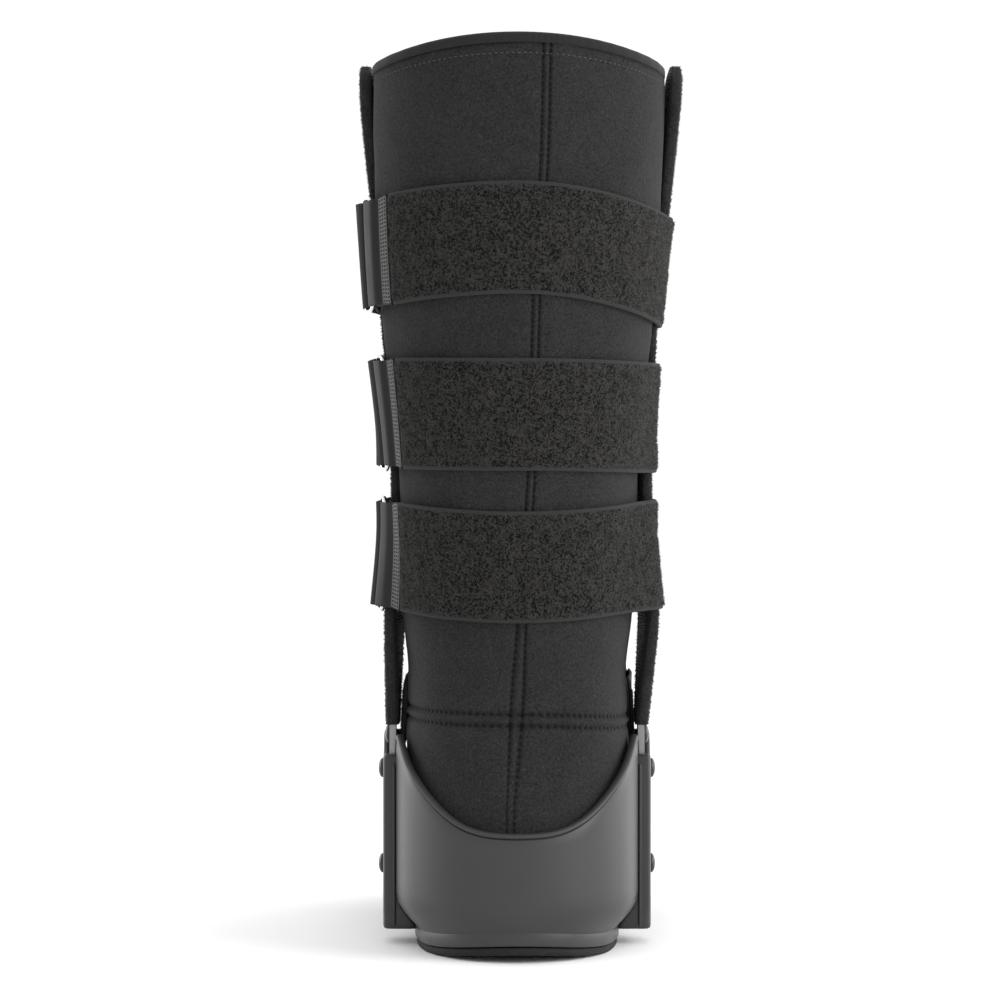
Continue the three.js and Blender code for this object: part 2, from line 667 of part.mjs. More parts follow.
// A girth is a way round the boot: centre, a plane, its width direction and the bodies inside.
function makeGirth({ centre, along, bodies, lift, clearance = SOFT_CLEARANCE }) {
  const across = new THREE.Vector3(1, 0, 0);
  const widthWay = across.clone().cross(along).normalize();
  const ways = 120;
  const directions = Array.from({ length: ways }, (_, i) => (i / ways) * 2 * Math.PI);
  const supports = new Map();

  const crossings = (height) => {
    const points = [];
    const test = (a, b) => {
      const from = a.clone().sub(centre).dot(widthWay) - height;
      const to = b.clone().sub(centre).dot(widthWay) - height;
      if (from * to > 0 || from === to) return;
      const point = a.clone().lerp(b, from / (from - to)).sub(centre);
      points.push([point.dot(across), -point.dot(along)]);
    };
    for (const rings of bodies) {
      rings.forEach((ring, i) => {
        ring.forEach((point, j) => {
          test(point, ring[(j + 1) % ring.length]);
          if (i + 1 < rings.length) test(point, rings[i + 1][j]);
        });
      });
    }
    return points;
  };

  const supportAt = (height) => {
    const key = height.toFixed(2);
    if (!supports.has(key)) {
      const points = crossings(height);
      const reach = directions.map((angle) => {
        const way = [Math.sin(angle), Math.cos(angle)];
        return Math.max(...points.map((p) => p[0] * way[0] + p[1] * way[1]));
      });
      supports.set(key, reach);
    }
    return supports.get(key);
  };

  const radius = (angle, height) => {
    const reach = supportAt(height);
    let nearest = Infinity;
    directions.forEach((direction, i) => {
      const facing = Math.cos(direction - angle);
      if (facing > 0.3) nearest = Math.min(nearest, reach[i] / facing);
    });
    return nearest;
  };

  // Point at an angle from the back in degrees, a distance off the surface and a width offset.
  return (degrees, distance, width) => {
    const height = lift(degrees) + width;
    const step = STRAP_STEP / 4;
    const turns = [-2, -1, 0, 1, 2].map((k) => radians(degrees + k * step));
    const out = Math.max(...turns.map((angle) => radius(angle, height))) + clearance + distance;
    const angle = radians(degrees);
    return centre
      .clone()
      .addScaledVector(across, out * Math.sin(angle))
      .addScaledVector(along, -out * Math.cos(angle))
      .addScaledVector(widthWay, height);
  };
}

// Strip of cloth along a route of stations, each with an angle in degrees, a distance of its
// middle off the surface and a width. The girth's radius turns degrees into lengths.
function strip(girth, route, thickness, radius) {
  const flat = route.map((stop) => new THREE.Vector2(radians(stop.angle) * radius, stop.off));
  const sections = route.map((stop, i) => {
    const before = flat[Math.max(i - 1, 0)];
    const after = flat[Math.min(i + 1, flat.length - 1)];
    const way = after.clone().sub(before).normalize();
    const side = (share) => {
      const along = flat[i].x - way.y * thickness * share;
      const off = flat[i].y + way.x * thickness * share;
      const angle = THREE.MathUtils.radToDeg(along / radius);
      return [-1, 0, 1].map((level) => girth(angle, off, (level * stop.width) / 2));
    };
    return [...side(0.5), ...side(-0.5).reverse()];
  });
  return skin(sections);
}

// Stations from one angle to another, both included.
function stationsBetween(from, to, off, width) {
  const count = Math.max(2, Math.round(Math.abs(to - from) / STRAP_STEP));
  return Array.from({ length: count + 1 }, (_, i) => {
    const share = i / count;
    return {
      angle: THREE.MathUtils.lerp(from, to, share),
      off: THREE.MathUtils.lerp(off[0], off[1], share),
      width: THREE.MathUtils.lerp(width[0], width[1], share),
    };
  });
}

// Turn of a strip round a ring's bar, starting under it and ending over it.
function turnStations(angle, middle, turnRadius, width, way, radius) {
  const steps = 5;
  return Array.from({ length: steps + 1 }, (_, i) => {
    const arc = -Math.PI / 2 + (i / steps) * Math.PI;
    const along = Math.cos(arc) * turnRadius * way;
    return {
      angle: angle + THREE.MathUtils.radToDeg(along / radius),
      off: middle + Math.sin(arc) * turnRadius,
      width,
    };
  });
}

// Rectangular wire ring that lies over the surface at an angle.
function wireRing(girth, angle, off, height, radius) {
  const half = [RING_SPAN / 2, height / 2];
  const corner = Math.min(RING_CORNER, half[0] * 0.8);
  const path = [];
  for (const [signX, signY, start] of [[1, 1, 0], [-1, 1, 90], [-1, -1, 180], [1, -1, 270]]) {
    for (const turn of [0, 45, 90]) {
      const arc = radians(start + turn);
      const x = signX * (half[0] - corner) + Math.cos(arc) * corner;
      const y = signY * (half[1] - corner) + Math.sin(arc) * corner;
      path.push([x, y]);
    }
    if (signX === signY) continue;
    path.push([signX * half[0], 0]);
  }
  const places = path.map(([x, y]) => {
    return girth(angle + THREE.MathUtils.radToDeg(x / radius), off, y);
  });
  const outward = girth(angle, off + 10, 0).sub(girth(angle, off, 0)).normalize();
  const count = places.length;
  const sections = places.map((place, i) => {
    const way = places[(i + 1) % count].clone().sub(places[(i + count - 1) % count]).normalize();
    const sideways = way.clone().cross(outward).normalize();
    return Array.from({ length: RING_SIDES }, (_, k) => {
      const arc = (k / RING_SIDES) * 2 * Math.PI;
      return place
        .clone()
        .addScaledVector(outward, (Math.cos(arc) * RING_WIRE) / 2)
        .addScaledVector(sideways, (Math.sin(arc) * RING_WIRE) / 2);
    });
  });
  return skin(sections, true);
}

// A strap, the chafe loop that holds its ring, and the ring. Angles are in degrees from the
// girth's back: the strap runs from its first stations to the ring and turns back over itself.
function buildStrapSet({ names, girth, radius, width, strapStart, chafeStart, ring, back, bores = [] }) {
  const loopWidth = width - LOOP_NARROWING;
  const strapTurn = RING_WIRE / 2 + LOOP_CLEARANCE + STRAP_THICKNESS / 2;
  const chafeTurn = RING_WIRE / 2 + LOOP_CLEARANCE + CHAFE_THICKNESS / 2;
  const low = STRAP_THICKNESS / 2;
  const middle = low + strapTurn;
  const lapped = 3 * low + CLEARANCE;
  const halfSpan = THREE.MathUtils.radToDeg((RING_SPAN - RING_WIRE) / 2 / radius);
  const nearBar = ring + 360 - halfSpan;
  const from = strapStart[strapStart.length - 1].angle + STRAP_STEP;
  const strap = [
    ...strapStart,
    ...stationsBetween(from, nearBar - 16, [low, low], [width, width]),
    { angle: nearBar - 8, off: low, width: loopWidth },
    ...turnStations(nearBar, middle, strapTurn, loopWidth, 1, radius),
    { angle: nearBar - 8, off: middle + strapTurn * 0.8, width: loopWidth },
    ...stationsBetween(nearBar - 20, back, [lapped, lapped], [width, width]),
    { angle: back - 4, off: lapped, width: width * END_TAPER },
  ];
  const strapSolid = bored(toSolid(strip(girth, strap, STRAP_THICKNESS, radius)), bores);
  addPiece(names.strap, toGeometry(strapSolid), MATERIALS.pile);

  const farBar = ring + halfSpan;
  const chafeLow = CHAFE_THICKNESS / 2;
  const chafe = [
    ...stationsBetween(chafeStart.under, farBar + 5, [chafeLow, chafeLow], [loopWidth, loopWidth]),
    ...turnStations(farBar, middle, chafeTurn, loopWidth, -1, radius),
    ...stationsBetween(
      farBar + 6,
      chafeStart.settled,
      [middle + chafeTurn * 0.85, chafeStart.off],
      [loopWidth, loopWidth],
    ),
    { angle: chafeStart.over, off: chafeStart.off, width: chafeStart.width },
  ];
  const chafeSolid = bored(toSolid(strip(girth, chafe, CHAFE_THICKNESS, radius)), bores);
  addPiece(names.chafe, toGeometry(chafeSolid), MATERIALS.webbing);
  const wire = wireRing(girth, ring, middle, loopWidth + RING_PLAY + RING_WIRE, radius);
  addPiece(names.ring, wire, MATERIALS.steel);
}

function bored(solid, bores) {
  return bores.reduce((rest, bore) => rest.subtract(bore), solid);
}

function buildCalfStraps() {
  const sleeves = [-1, 1].map(sleeveOuterRings);
  const flap = flapRings(CLEARANCE + FLAP_THICKNESS);
  for (const row of CALF_STRAP_ROWS) {
    const lift = (degrees) => {
      const angle = radians(degrees);
      const frontBack = Math.cos(angle) > 0 ? row.back : row.front;
      const side = Math.sin(angle) > 0 ? row.right : row.left;
      return THREE.MathUtils.lerp(side, frontBack, Math.cos(angle) ** 2) * LINER_HEIGHT;
    };
    const girth = makeGirth({
      centre: new THREE.Vector3(0, 0, 0),
      along: new THREE.Vector3(0, 1, 0),
      bodies: [LINER_OUTER.slice(0, LEG_ROWS.length + 1), flap, ...sleeves],
      lift,
    });
    const over = CHAFE_THICKNESS + 2 * CLEARANCE + STRAP_THICKNESS / 2;
    buildStrapSet({
      names: {
        strap: `calf_strap_${row.name}`,
        chafe: `chafe_${row.name}`,
        ring: `ring_${row.name}`,
      },
      girth,
      radius: CALF_WIDTH / 2,
      width: STRAP_WIDTH,
      strapStart: stationsBetween(
        WELD_ANGLE,
        WELD_ANGLE + 2 * STRAP_STEP,
        [over, over],
        [STRAP_WIDTH, STRAP_WIDTH],
      ),
      chafeStart: {
        under: WELD_ANGLE + 6,
        settled: WELD_ANGLE - 10,
        over: WELD_ANGLE - 4,
        off: over,
        width: STRAP_WIDTH,
      },
      ring: row.ring,
      back: CALF_FREE_END,
    });
  }
}

// Strap over the instep, held between the liner and the uprights.
function buildAnkleStrap() {
  const tilt = radians(ANKLE_STRAP_TILT);
  const girth = makeGirth({
    centre: new THREE.Vector3(0, BAR_FORWARD, ANKLE_STRAP_HEIGHT),
    along: new THREE.Vector3(0, Math.cos(tilt), Math.sin(tilt)),
    bodies: [LINER_OUTER],
    lift: () => 0,
    clearance: 2 * CLEARANCE,
  });
  const width = ANKLE_STRAP_WIDTH;
  const ends = ANKLE_ENDS;
  const low = STRAP_THICKNESS / 2;
  buildStrapSet({
    names: { strap: "ankle_strap", chafe: "chafe_ankle", ring: "ring_ankle" },
    girth: (degrees, off, level) => girth(-degrees, off, level),
    radius: ANKLE_WIDTH / 2,
    width,
    strapStart: stationsBetween(ends.start, ends.lap, [low, low], [width - TUCK_NARROWING, width]),
    chafeStart: {
      under: ends.under,
      settled: ends.settled,
      over: ends.over,
      off: CHAFE_THICKNESS * 1.5 + CLEARANCE,
      width: width - LOOP_NARROWING,
    },
    ring: ends.ring,
    back: ends.free,
  });
}

// Way round the forefoot outside the shell, from the sole upwards.
function forefootGirth() {
  return makeGirth({
    centre: new THREE.Vector3(0, FOREFOOT_STRAP_FORWARD, FOREFOOT_STRAP_CENTRE),
    along: new THREE.Vector3(0, 0, 1),
    bodies: [LINER_OUTER, wallSections()],
    lift: () => 0,
    clearance: SOFT_CLEARANCE + 0.2,
  });
}

// Seats of the rivets that hold the forefoot strap's ends, left then right.
function forefootSeats() {
  const girth = forefootGirth();
  return [-1, 1].map((side) => {
    const off = side < 0 ? STRAP_THICKNESS : 2 * CHAFE_THICKNESS + CLEARANCE;
    return { side, place: girth(side * FOREFOOT_RIVET_ANGLE, off + CLEARANCE, 0) };
  });
}

function forefootBores() {
  return forefootSeats().map(({ side, place }) => {
    const length = FOREFOOT_SHANK + 4;
    return rivetBore(place.x + side * (2 - length / 2), place.y, place.z, length);
  });
}

// Strap over the forefoot, riveted to the outside of the shell at both ends.
function buildForefootStrap() {
  const girth = forefootGirth();
  const width = FOREFOOT_STRAP_WIDTH;
  const ends = FOREFOOT_ENDS;
  const low = STRAP_THICKNESS / 2;
  buildStrapSet({
    names: { strap: "forefoot_strap", chafe: "chafe_forefoot", ring: "ring_forefoot" },
    girth: (degrees, off, level) => girth(-degrees, off, level),
    radius: ANKLE_WIDTH / 2,
    width,
    strapStart: stationsBetween(ends.start, ends.lap, [low, low], [width - TUCK_NARROWING, width]),
    chafeStart: {
      under: ends.under,
      settled: ends.settled,
      over: ends.over,
      off: CHAFE_THICKNESS * 1.5 + CLEARANCE,
      width: width - LOOP_NARROWING,
    },
    ring: ends.ring,
    back: ends.free,
    bores: forefootBores(),
  });
}

// Rivet with a domed head and a shank, its head's seat at a place on one side of the boot.
function rivetGeometry(side, seat, y, z, shank) {
  const head = RIVET_HEAD / 2;
  const profile = [
    [0, -shank],
    [RIVET_SHANK / 2, -shank],
    [RIVET_SHANK / 2, CLEARANCE],
    [head, CLEARANCE],
    [head * 0.92, CLEARANCE + RIVET_RISE * 0.45],
    [head * 0.6, CLEARANCE + RIVET_RISE * 0.88],
    [0, CLEARANCE + RIVET_RISE],
  ];
  const points = profile.map(([radius, height]) => new THREE.Vector2(radius, height));
  const rivet = new THREE.LatheGeometry(points, 8);
  rivet.rotateZ((-side * Math.PI) / 2);
  rivet.translate(side * seat, y, z);
  return facedOut(toGeometry(toSolid(rivet)));
}

function buildRivets() {
  for (const side of [-1, 1]) {
    const name = side < 0 ? "left" : "right";
    const deep = SOCKET_WALL + BAR_THICKNESS;
    for (const [place, height] of [["low", RIVET_LOW], ["high", RIVET_HIGH]]) {
      const rivet = rivetGeometry(side, SOCKET_FACE, BAR_FORWARD, height, deep);
      addPiece(`rivet_${place}_${name}`, rivet, MATERIALS.blackMetal);
    }
    const face = BAR_SEAT + BAR_THICKNESS / 2;
    const ankle = rivetGeometry(side, face, BAR_FORWARD, RIVET_ANKLE, BAR_THICKNESS + ANKLE_SHANK_END);
    addPiece(`rivet_ankle_${name}`, ankle, MATERIALS.blackMetal);
  }
  for (const { side, place } of forefootSeats()) {
    const rivet = rivetGeometry(side, Math.abs(place.x), place.y, place.z, FOREFOOT_SHANK);
    addPiece(`rivet_forefoot_${side < 0 ? "left" : "right"}`, rivet, MATERIALS.blackMetal);
  }
}

buildSole();
buildShell();
buildUprights();
buildLiner();
buildBinding();
buildFlap();
buildCalfStraps();
buildAnkleStrap();
buildForefootStrap();
buildRivets();

export default boot;
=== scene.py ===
"""Looks of a tall walking boot: padded liner, pile straps, sleeved uprights, moulded shell and studio.

Every size is in millimetres in the boot's own frame (toe towards +Y, up +Z) and becomes metres
when a mesh is made.
"""

import json
import logging
import math
from dataclasses import dataclass, field
from enum import Enum
from typing import Any, Callable, Optional, Sequence

import bpy
import numpy as np
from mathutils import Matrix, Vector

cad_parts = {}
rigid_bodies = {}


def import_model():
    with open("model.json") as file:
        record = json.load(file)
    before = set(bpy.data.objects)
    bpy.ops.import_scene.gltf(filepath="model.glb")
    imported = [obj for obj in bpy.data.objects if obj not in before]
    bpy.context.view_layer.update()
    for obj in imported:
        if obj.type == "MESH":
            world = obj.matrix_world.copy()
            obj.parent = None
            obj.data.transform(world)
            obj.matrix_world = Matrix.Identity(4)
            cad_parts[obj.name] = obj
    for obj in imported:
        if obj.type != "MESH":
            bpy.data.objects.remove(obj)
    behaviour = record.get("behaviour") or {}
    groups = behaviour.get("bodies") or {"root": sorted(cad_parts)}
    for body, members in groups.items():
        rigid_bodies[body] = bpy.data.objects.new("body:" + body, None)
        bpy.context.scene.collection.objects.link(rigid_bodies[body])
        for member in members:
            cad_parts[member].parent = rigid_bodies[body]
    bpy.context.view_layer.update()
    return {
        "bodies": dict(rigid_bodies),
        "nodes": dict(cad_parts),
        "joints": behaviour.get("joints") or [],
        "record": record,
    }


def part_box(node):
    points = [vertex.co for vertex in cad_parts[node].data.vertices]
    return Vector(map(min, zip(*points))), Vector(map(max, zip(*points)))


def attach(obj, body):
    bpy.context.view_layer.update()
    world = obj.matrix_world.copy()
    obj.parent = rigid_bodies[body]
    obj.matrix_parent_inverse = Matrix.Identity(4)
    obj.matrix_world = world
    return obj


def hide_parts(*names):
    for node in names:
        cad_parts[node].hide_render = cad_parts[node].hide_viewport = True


LOG = logging.getLogger("walking_boot")
MM = 0.001
BODY = "root"

Array = np.ndarray
Colour = tuple[float, float, float]


class Side(Enum):
    """Side of the boot, with its sign along X and its word in piece names."""

    LEFT = (-1, "left")
    RIGHT = (1, "right")

    @property
    def sign(self) -> int:
        """Sign of the side along X."""
        return self.value[0]

    @property
    def word(self) -> str:
        """Word used in the names of pieces."""
        return self.value[1]


# Small maths


def tone(level: float, tint: Colour = (1.0, 1.0, 1.0)) -> Colour:
    """Linear colour of a display grey.

    Args:
        level: Grey on the 0 to 255 display scale.
        tint: Factors of the red, green and blue channels.

    Returns:
        Linear red, green and blue.
    """
    share = level / 255
    linear = share / 12.92 if share <= 0.04045 else ((share + 0.055) / 1.055) ** 2.4
    return tuple(linear * factor for factor in tint)


def ease(low: float, high: float, value: Array) -> Array:
    """Smooth step from 0 at low to 1 at high.

    Args:
        low: Value where the step starts.
        high: Value where the step ends.
        value: Values to place on the step.

    Returns:
        Shares between 0 and 1.
    """
    share = np.clip((np.asarray(value, float) - low) / (high - low), 0, 1)
    return share * share * (3 - 2 * share)


def bell(centre: float, width: float, value: Array) -> Array:
    """Bell-shaped bump of height 1.

    Args:
        centre: Value at the top of the bump.
        width: Distance from the centre to where it has fallen to 0.37.
        value: Values to place on the bump.

    Returns:
        Heights between 0 and 1.
    """
    return np.exp(-(((np.asarray(value, float) - centre) / width) ** 2))


def twin_bells(away: float, width: float, value: Array) -> Array:
    """Bells on both sides of a line, at a distance from it."""
    return bell(away, width, value) + bell(-away, width, value)


def soft_least(first: Array, second: Array, blend: float) -> Array:
    """Smaller of two values, rounded where they meet.

    Args:
        first: First values.
        second: Second values.
        blend: Size of the rounding.

    Returns:
        Rounded minimum.
    """
    return -blend * np.logaddexp(-first / blend, -second / blend)


def unit(vectors: Array) -> Array:
    """Vectors brought to length one."""
    return vectors / np.linalg.norm(vectors, axis=-1, keepdims=True)


def run_length(points: Array) -> Array:
    """Length along a line up to each of its points."""
    return np.concatenate([[0], np.cumsum(np.linalg.norm(np.diff(points, axis=0), axis=1))])


def whole_turn(count: int) -> Array:
    """Even angles of a whole turn, from minus half a turn."""
    return np.linspace(-np.pi, np.pi, count, endpoint=False)


def squared_turn(angle: Array, power: Any) -> tuple[Array, Array]:
    """Cosine and sine of angles, drawn out towards a square by a power under 1."""
    cosine, sine = np.cos(angle), np.sin(angle)
    return np.sign(cosine) * np.abs(cosine) ** power, np.sign(sine) * np.abs(sine) ** power


def looked_up(table: Array, row: Array, column: Array) -> Array:
    """Values between the places of a table whose columns run round a turn.

    Args:
        table: Values by rows and columns.
        row: Row numbers, whole or between rows.
        column: Column numbers, which may pass the last one.

    Returns:
        Values at the places.
    """
    low, near = np.floor(row).astype(int), np.floor(column).astype(int) % table.shape[1]
    far = (near + 1) % table.shape[1]
    down, over = row - low, column - np.floor(column)
    first = table[low, near] * (1 - over) + table[low, far] * over
    second = table[low + 1, near] * (1 - over) + table[low + 1, far] * over
    return first * (1 - down) + second * down


def rows_at(rows: Array, place: Array) -> Array:
    """Smooth curve through the rows of a table.

    Args:
        rows: Table with one row per station.
        place: Row numbers, whole or between rows.

    Returns:
        Interpolated rows, one per place.
    """
    last = len(rows) - 1
    index = np.clip(np.floor(place).astype(int), 0, last - 1)
    share = (place - index)[:, None]
    before = rows[np.maximum(index - 1, 0)]
    here = rows[index]
    after = rows[index + 1]
    beyond = rows[np.minimum(index + 2, last)]
    slope_here = (after - before) / 2
    slope_after = (beyond - here) / 2
    return (
        here * (2 * share**3 - 3 * share**2 + 1)
        + slope_here * (share**3 - 2 * share**2 + share)
        + after * (3 * share**2 - 2 * share**3)
        + slope_after * (share**3 - share**2)
    )


# Large odd numbers that mix a lattice cell into one value
CELL_FACTORS = (73856093, 19349663, 83492791)
SEED_FACTOR = 2654435761
MIX_FACTOR, MIX_SHIFT = 1103515245, 12345


def grain(points: Array, size: float, seed: int) -> Array:
    """Smooth lattice noise between -1 and 1.

    Args:
        points: Points, with three numbers in the last axis.
        size: Size of a lattice cell.
        seed: Number that picks the pattern.

    Returns:
        One value a point.
    """
    scaled = points / size
    cell = np.floor(scaled).astype(np.int64)
    share = scaled - cell
    share = share * share * (3 - 2 * share)
    total = np.zeros(points.shape[:-1])
    for corner in range(8):
        step = np.array([corner & 1, (corner >> 1) & 1, corner >> 2])
        place = cell + step
        first, second, third = (place[..., k] * CELL_FACTORS[k] for k in range(3))
        mixed = (first ^ second ^ third ^ (seed * SEED_FACTOR)) & 0xFFFFFFFF
        mixed = (mixed * MIX_FACTOR + MIX_SHIFT) & 0x7FFFFFFF
        mixed = (mixed ^ (mixed >> 13)) & 0xFFFF
        weight = np.prod(np.where(step == 1, share, 1 - share), axis=-1)
        total += weight * (mixed / 65535)
    return total * 2 - 1


def smoothed(values: Array, spread: float, closed: bool = False) -> Array:
    """Values softened along their first axis by a bell-shaped window.

    Args:
        values: Values to soften.
        spread: Width of the window in steps.
        closed: Whether the first axis is a closed loop.

    Returns:
        Softened values of the same shape.
    """
    reach = max(1, int(3 * spread))
    window = np.exp(-0.5 * (np.arange(-reach, reach + 1) / spread) ** 2)
    window /= window.sum()
    mode = "wrap" if closed else "edge"
    padding = [(reach, reach)] + [(0, 0)] * (values.ndim - 1)
    padded = np.pad(values, padding, mode=mode)
    return sum(w * padded[i : i + len(values)] for i, w in enumerate(window))


# Meshes


def put(name: str, data: Any) -> bpy.types.Object:
    """Makes an object in the scene.

    Args:
        name: Name of the object.
        data: Its mesh, lamp or camera.

    Returns:
        The object, at the origin.
    """
    made = bpy.data.objects.new(name, data)
    bpy.context.scene.collection.objects.link(made)
    return made


@dataclass
class MeshPlan:
    """Points and faces of a mesh to be made.

    Attributes:
        points: Points in millimetres.
        faces: Faces as tuples of point numbers.
        uv: Pattern coordinates of the points, in millimetres.
        marks: Named values of the points.
    """

    points: Array
    faces: list
    uv: Optional[Array] = None
    marks: dict = field(default_factory=dict)

    def volume(self) -> float:
        """Volume inside the faces, negative when they point inwards."""
        total = 0.0
        quads = np.array([f for f in self.faces if len(f) == 4])
        rest = [f for f in self.faces if len(f) != 4]
        corners = [quads[:, [0, 1, 2]], quads[:, [0, 2, 3]]] if len(quads) else []
        fans = [(f[0], f[i], f[i + 1]) for f in rest for i in range(1, len(f) - 1)]
        corners += [np.array(fans)] if fans else []
        for index in corners:
            a, b, c = (self.points[index[:, k]] for k in range(3))
            total += np.einsum("ij,ij->i", a, np.cross(b, c)).sum()
        return total / 6

    def faced_out(self) -> "MeshPlan":
        """The same plan with its faces pointing outwards."""
        turned = [f[::-1] for f in self.faces] if self.volume() < 0 else self.faces
        return MeshPlan(self.points, turned, self.uv, self.marks)

    def joined(self, other: "MeshPlan") -> "MeshPlan":
        """One plan that holds both meshes, without patterns or marks."""
        faces = self.faces + [tuple(i + len(self.points) for i in f) for f in other.faces]
        return MeshPlan(np.concatenate([self.points, other.points]), faces)

    def make(
        self, name: str, finishes: Sequence["Finish"], pick: Optional[Array] = None
    ) -> bpy.types.Object:
        """Makes the object.

        Args:
            name: Name of the object.
            finishes: Finishes of its material slots.
            pick: Slot number of each face, or nothing for the first slot.

        Returns:
            The object, at the origin.
        """
        mesh = bpy.data.meshes.new(name)
        mesh.from_pydata((self.points * MM).tolist(), [], self.faces)
        mesh.polygons.foreach_set("use_smooth", [True] * len(mesh.polygons))
        if self.uv is not None:
            layer = mesh.uv_layers.new(name="cloth")
            loops = np.zeros(len(mesh.loops), np.int32)
            mesh.loops.foreach_get("vertex_index", loops)
            layer.data.foreach_set("uv", (self.uv[loops] * MM).ravel())
        for key, values in self.marks.items():
            mark = mesh.attributes.new(key, "FLOAT", "POINT")
            mark.data.foreach_set("value", np.asarray(values, np.float32).ravel())
        for finish in finishes:
            mesh.materials.append(finish.material())
        if pick is not None:
            mesh.polygons.foreach_set("material_index", np.asarray(pick, np.int32))
        mesh.update()
        return put(name, mesh)


def skin_faces(count: int, size: int, loop: bool = False) -> list:
    """Four-sided faces between rings of points.

    Args:
        count: Number of rings.
        size: Points of each ring.
        loop: Whether the last ring joins the first.

    Returns:
        Faces as tuples of point numbers.
    """
    row = np.arange(count if loop else count - 1)[:, None]
    low, high = row * size, ((row + 1) % count) * size
    here = np.arange(size)[None, :]
    there = (here + 1) % size
    quads = np.stack([low + here, low + there, high + there, high + here], axis=-1)
    return [tuple(q) for q in quads.reshape(-1, 4).tolist()]


def loft(rings: Array, uv: Optional[Array] = None, loop: bool = False, caps: bool = True) -> MeshPlan:
    """Skin over rings of equally many points.

    Args:
        rings: Points as rings by points by three.
        uv: Pattern coordinates as rings by points by two.
        loop: Whether the last ring joins the first.
        caps: Whether single faces close the end rings.

    Returns:
        The skin, with its faces pointing outwards where it is closed.
    """
    count, size = rings.shape[:2]
    faces = skin_faces(count, size, loop)
    if caps and not loop:
        faces.append(tuple(range(size - 1, -1, -1)))
        faces.append(tuple(range((count - 1) * size, count * size)))
    flat = None if uv is None else uv.reshape(-1, 2)
    return MeshPlan(rings.reshape(-1, 3), faces, flat).faced_out()


def ladder(size: int, start: int, flip: bool) -> list:
    """Faces that close a mirrored outline by rungs from side to side.

    Args:
        size: Number of points of the outline, the first one on the middle line.
        start: Number of its first point.
        flip: Whether the faces are turned over.

    Returns:
        Faces as tuples of point numbers.
    """
    faces = []
    for j in range(size // 2):
        corners = [j, j + 1, (size - j - 1) % size, (size - j) % size]
        face = tuple(dict.fromkeys(start + c for c in corners))
        faces.append(tuple(reversed(face)) if flip else face)
    return faces


def slab(rings: Array) -> MeshPlan:
    """Closed body over mirrored outlines whose ends are closed by rungs.

    Args:
        rings: Outlines from the bottom to the top.

    Returns:
        The closed body.
    """
    count, size = rings.shape[:2]
    ends = ladder(size, 0, True) + ladder(size, (count - 1) * size, False)
    return MeshPlan(rings.reshape(-1, 3), skin_faces(count, size) + ends).faced_out()


# Node graphs


class Wire:
    """A node's output that takes part in Python arithmetic."""

    def __init__(self, graph: "Graph", socket: Any) -> None:
        """Keeps the graph and the output socket."""
        self.graph = graph
        self.socket = socket

    def maths(self, operation: str, *values: Any) -> "Wire":
        """Adds a Math node.

        Args:
            operation: Name of the operation.
            values: Numbers or wires of its inputs, or none for the wire itself.

        Returns:
            The result.
        """
        inputs = dict(enumerate(values or (self,)))
        node = self.graph.node("ShaderNodeMath", {"operation": operation}, inputs)
        return Wire(self.graph, node.outputs[0])

    def __add__(self, other: Any) -> "Wire":
        """Sum."""
        return self.maths("ADD", self, other)

    def __radd__(self, other: Any) -> "Wire":
        """Sum with a number on the left."""
        return self.maths("ADD", other, self)

    def __sub__(self, other: Any) -> "Wire":
        """Difference."""
        return self.maths("SUBTRACT", self, other)

    def __rsub__(self, other: Any) -> "Wire":
        """Difference with a number on the left."""
        return self.maths("SUBTRACT", other, self)

    def __mul__(self, other: Any) -> "Wire":
        """Product."""
        return self.maths("MULTIPLY", self, other)

    def __truediv__(self, other: Any) -> "Wire":
        """Quotient."""
        return self.maths("DIVIDE", self, other)

    def ripple(self, pitch: float) -> "Wire":
        """Wave between 0 and 1 that repeats with the pitch."""
        return (self * (2 * math.pi / pitch)).maths("SINE") * 0.5 + 0.5

    def above(self, limit: float, blend: float) -> "Wire":
        """Soft mask of where the value is over a limit."""
        return ((self - (limit - blend / 2)) / blend).clamped()

    def clamped(self) -> "Wire":
        """The value held between 0 and 1."""
        node = self.graph.node("ShaderNodeClamp", {}, {0: self})
        return Wire(self.graph, node.outputs[0])


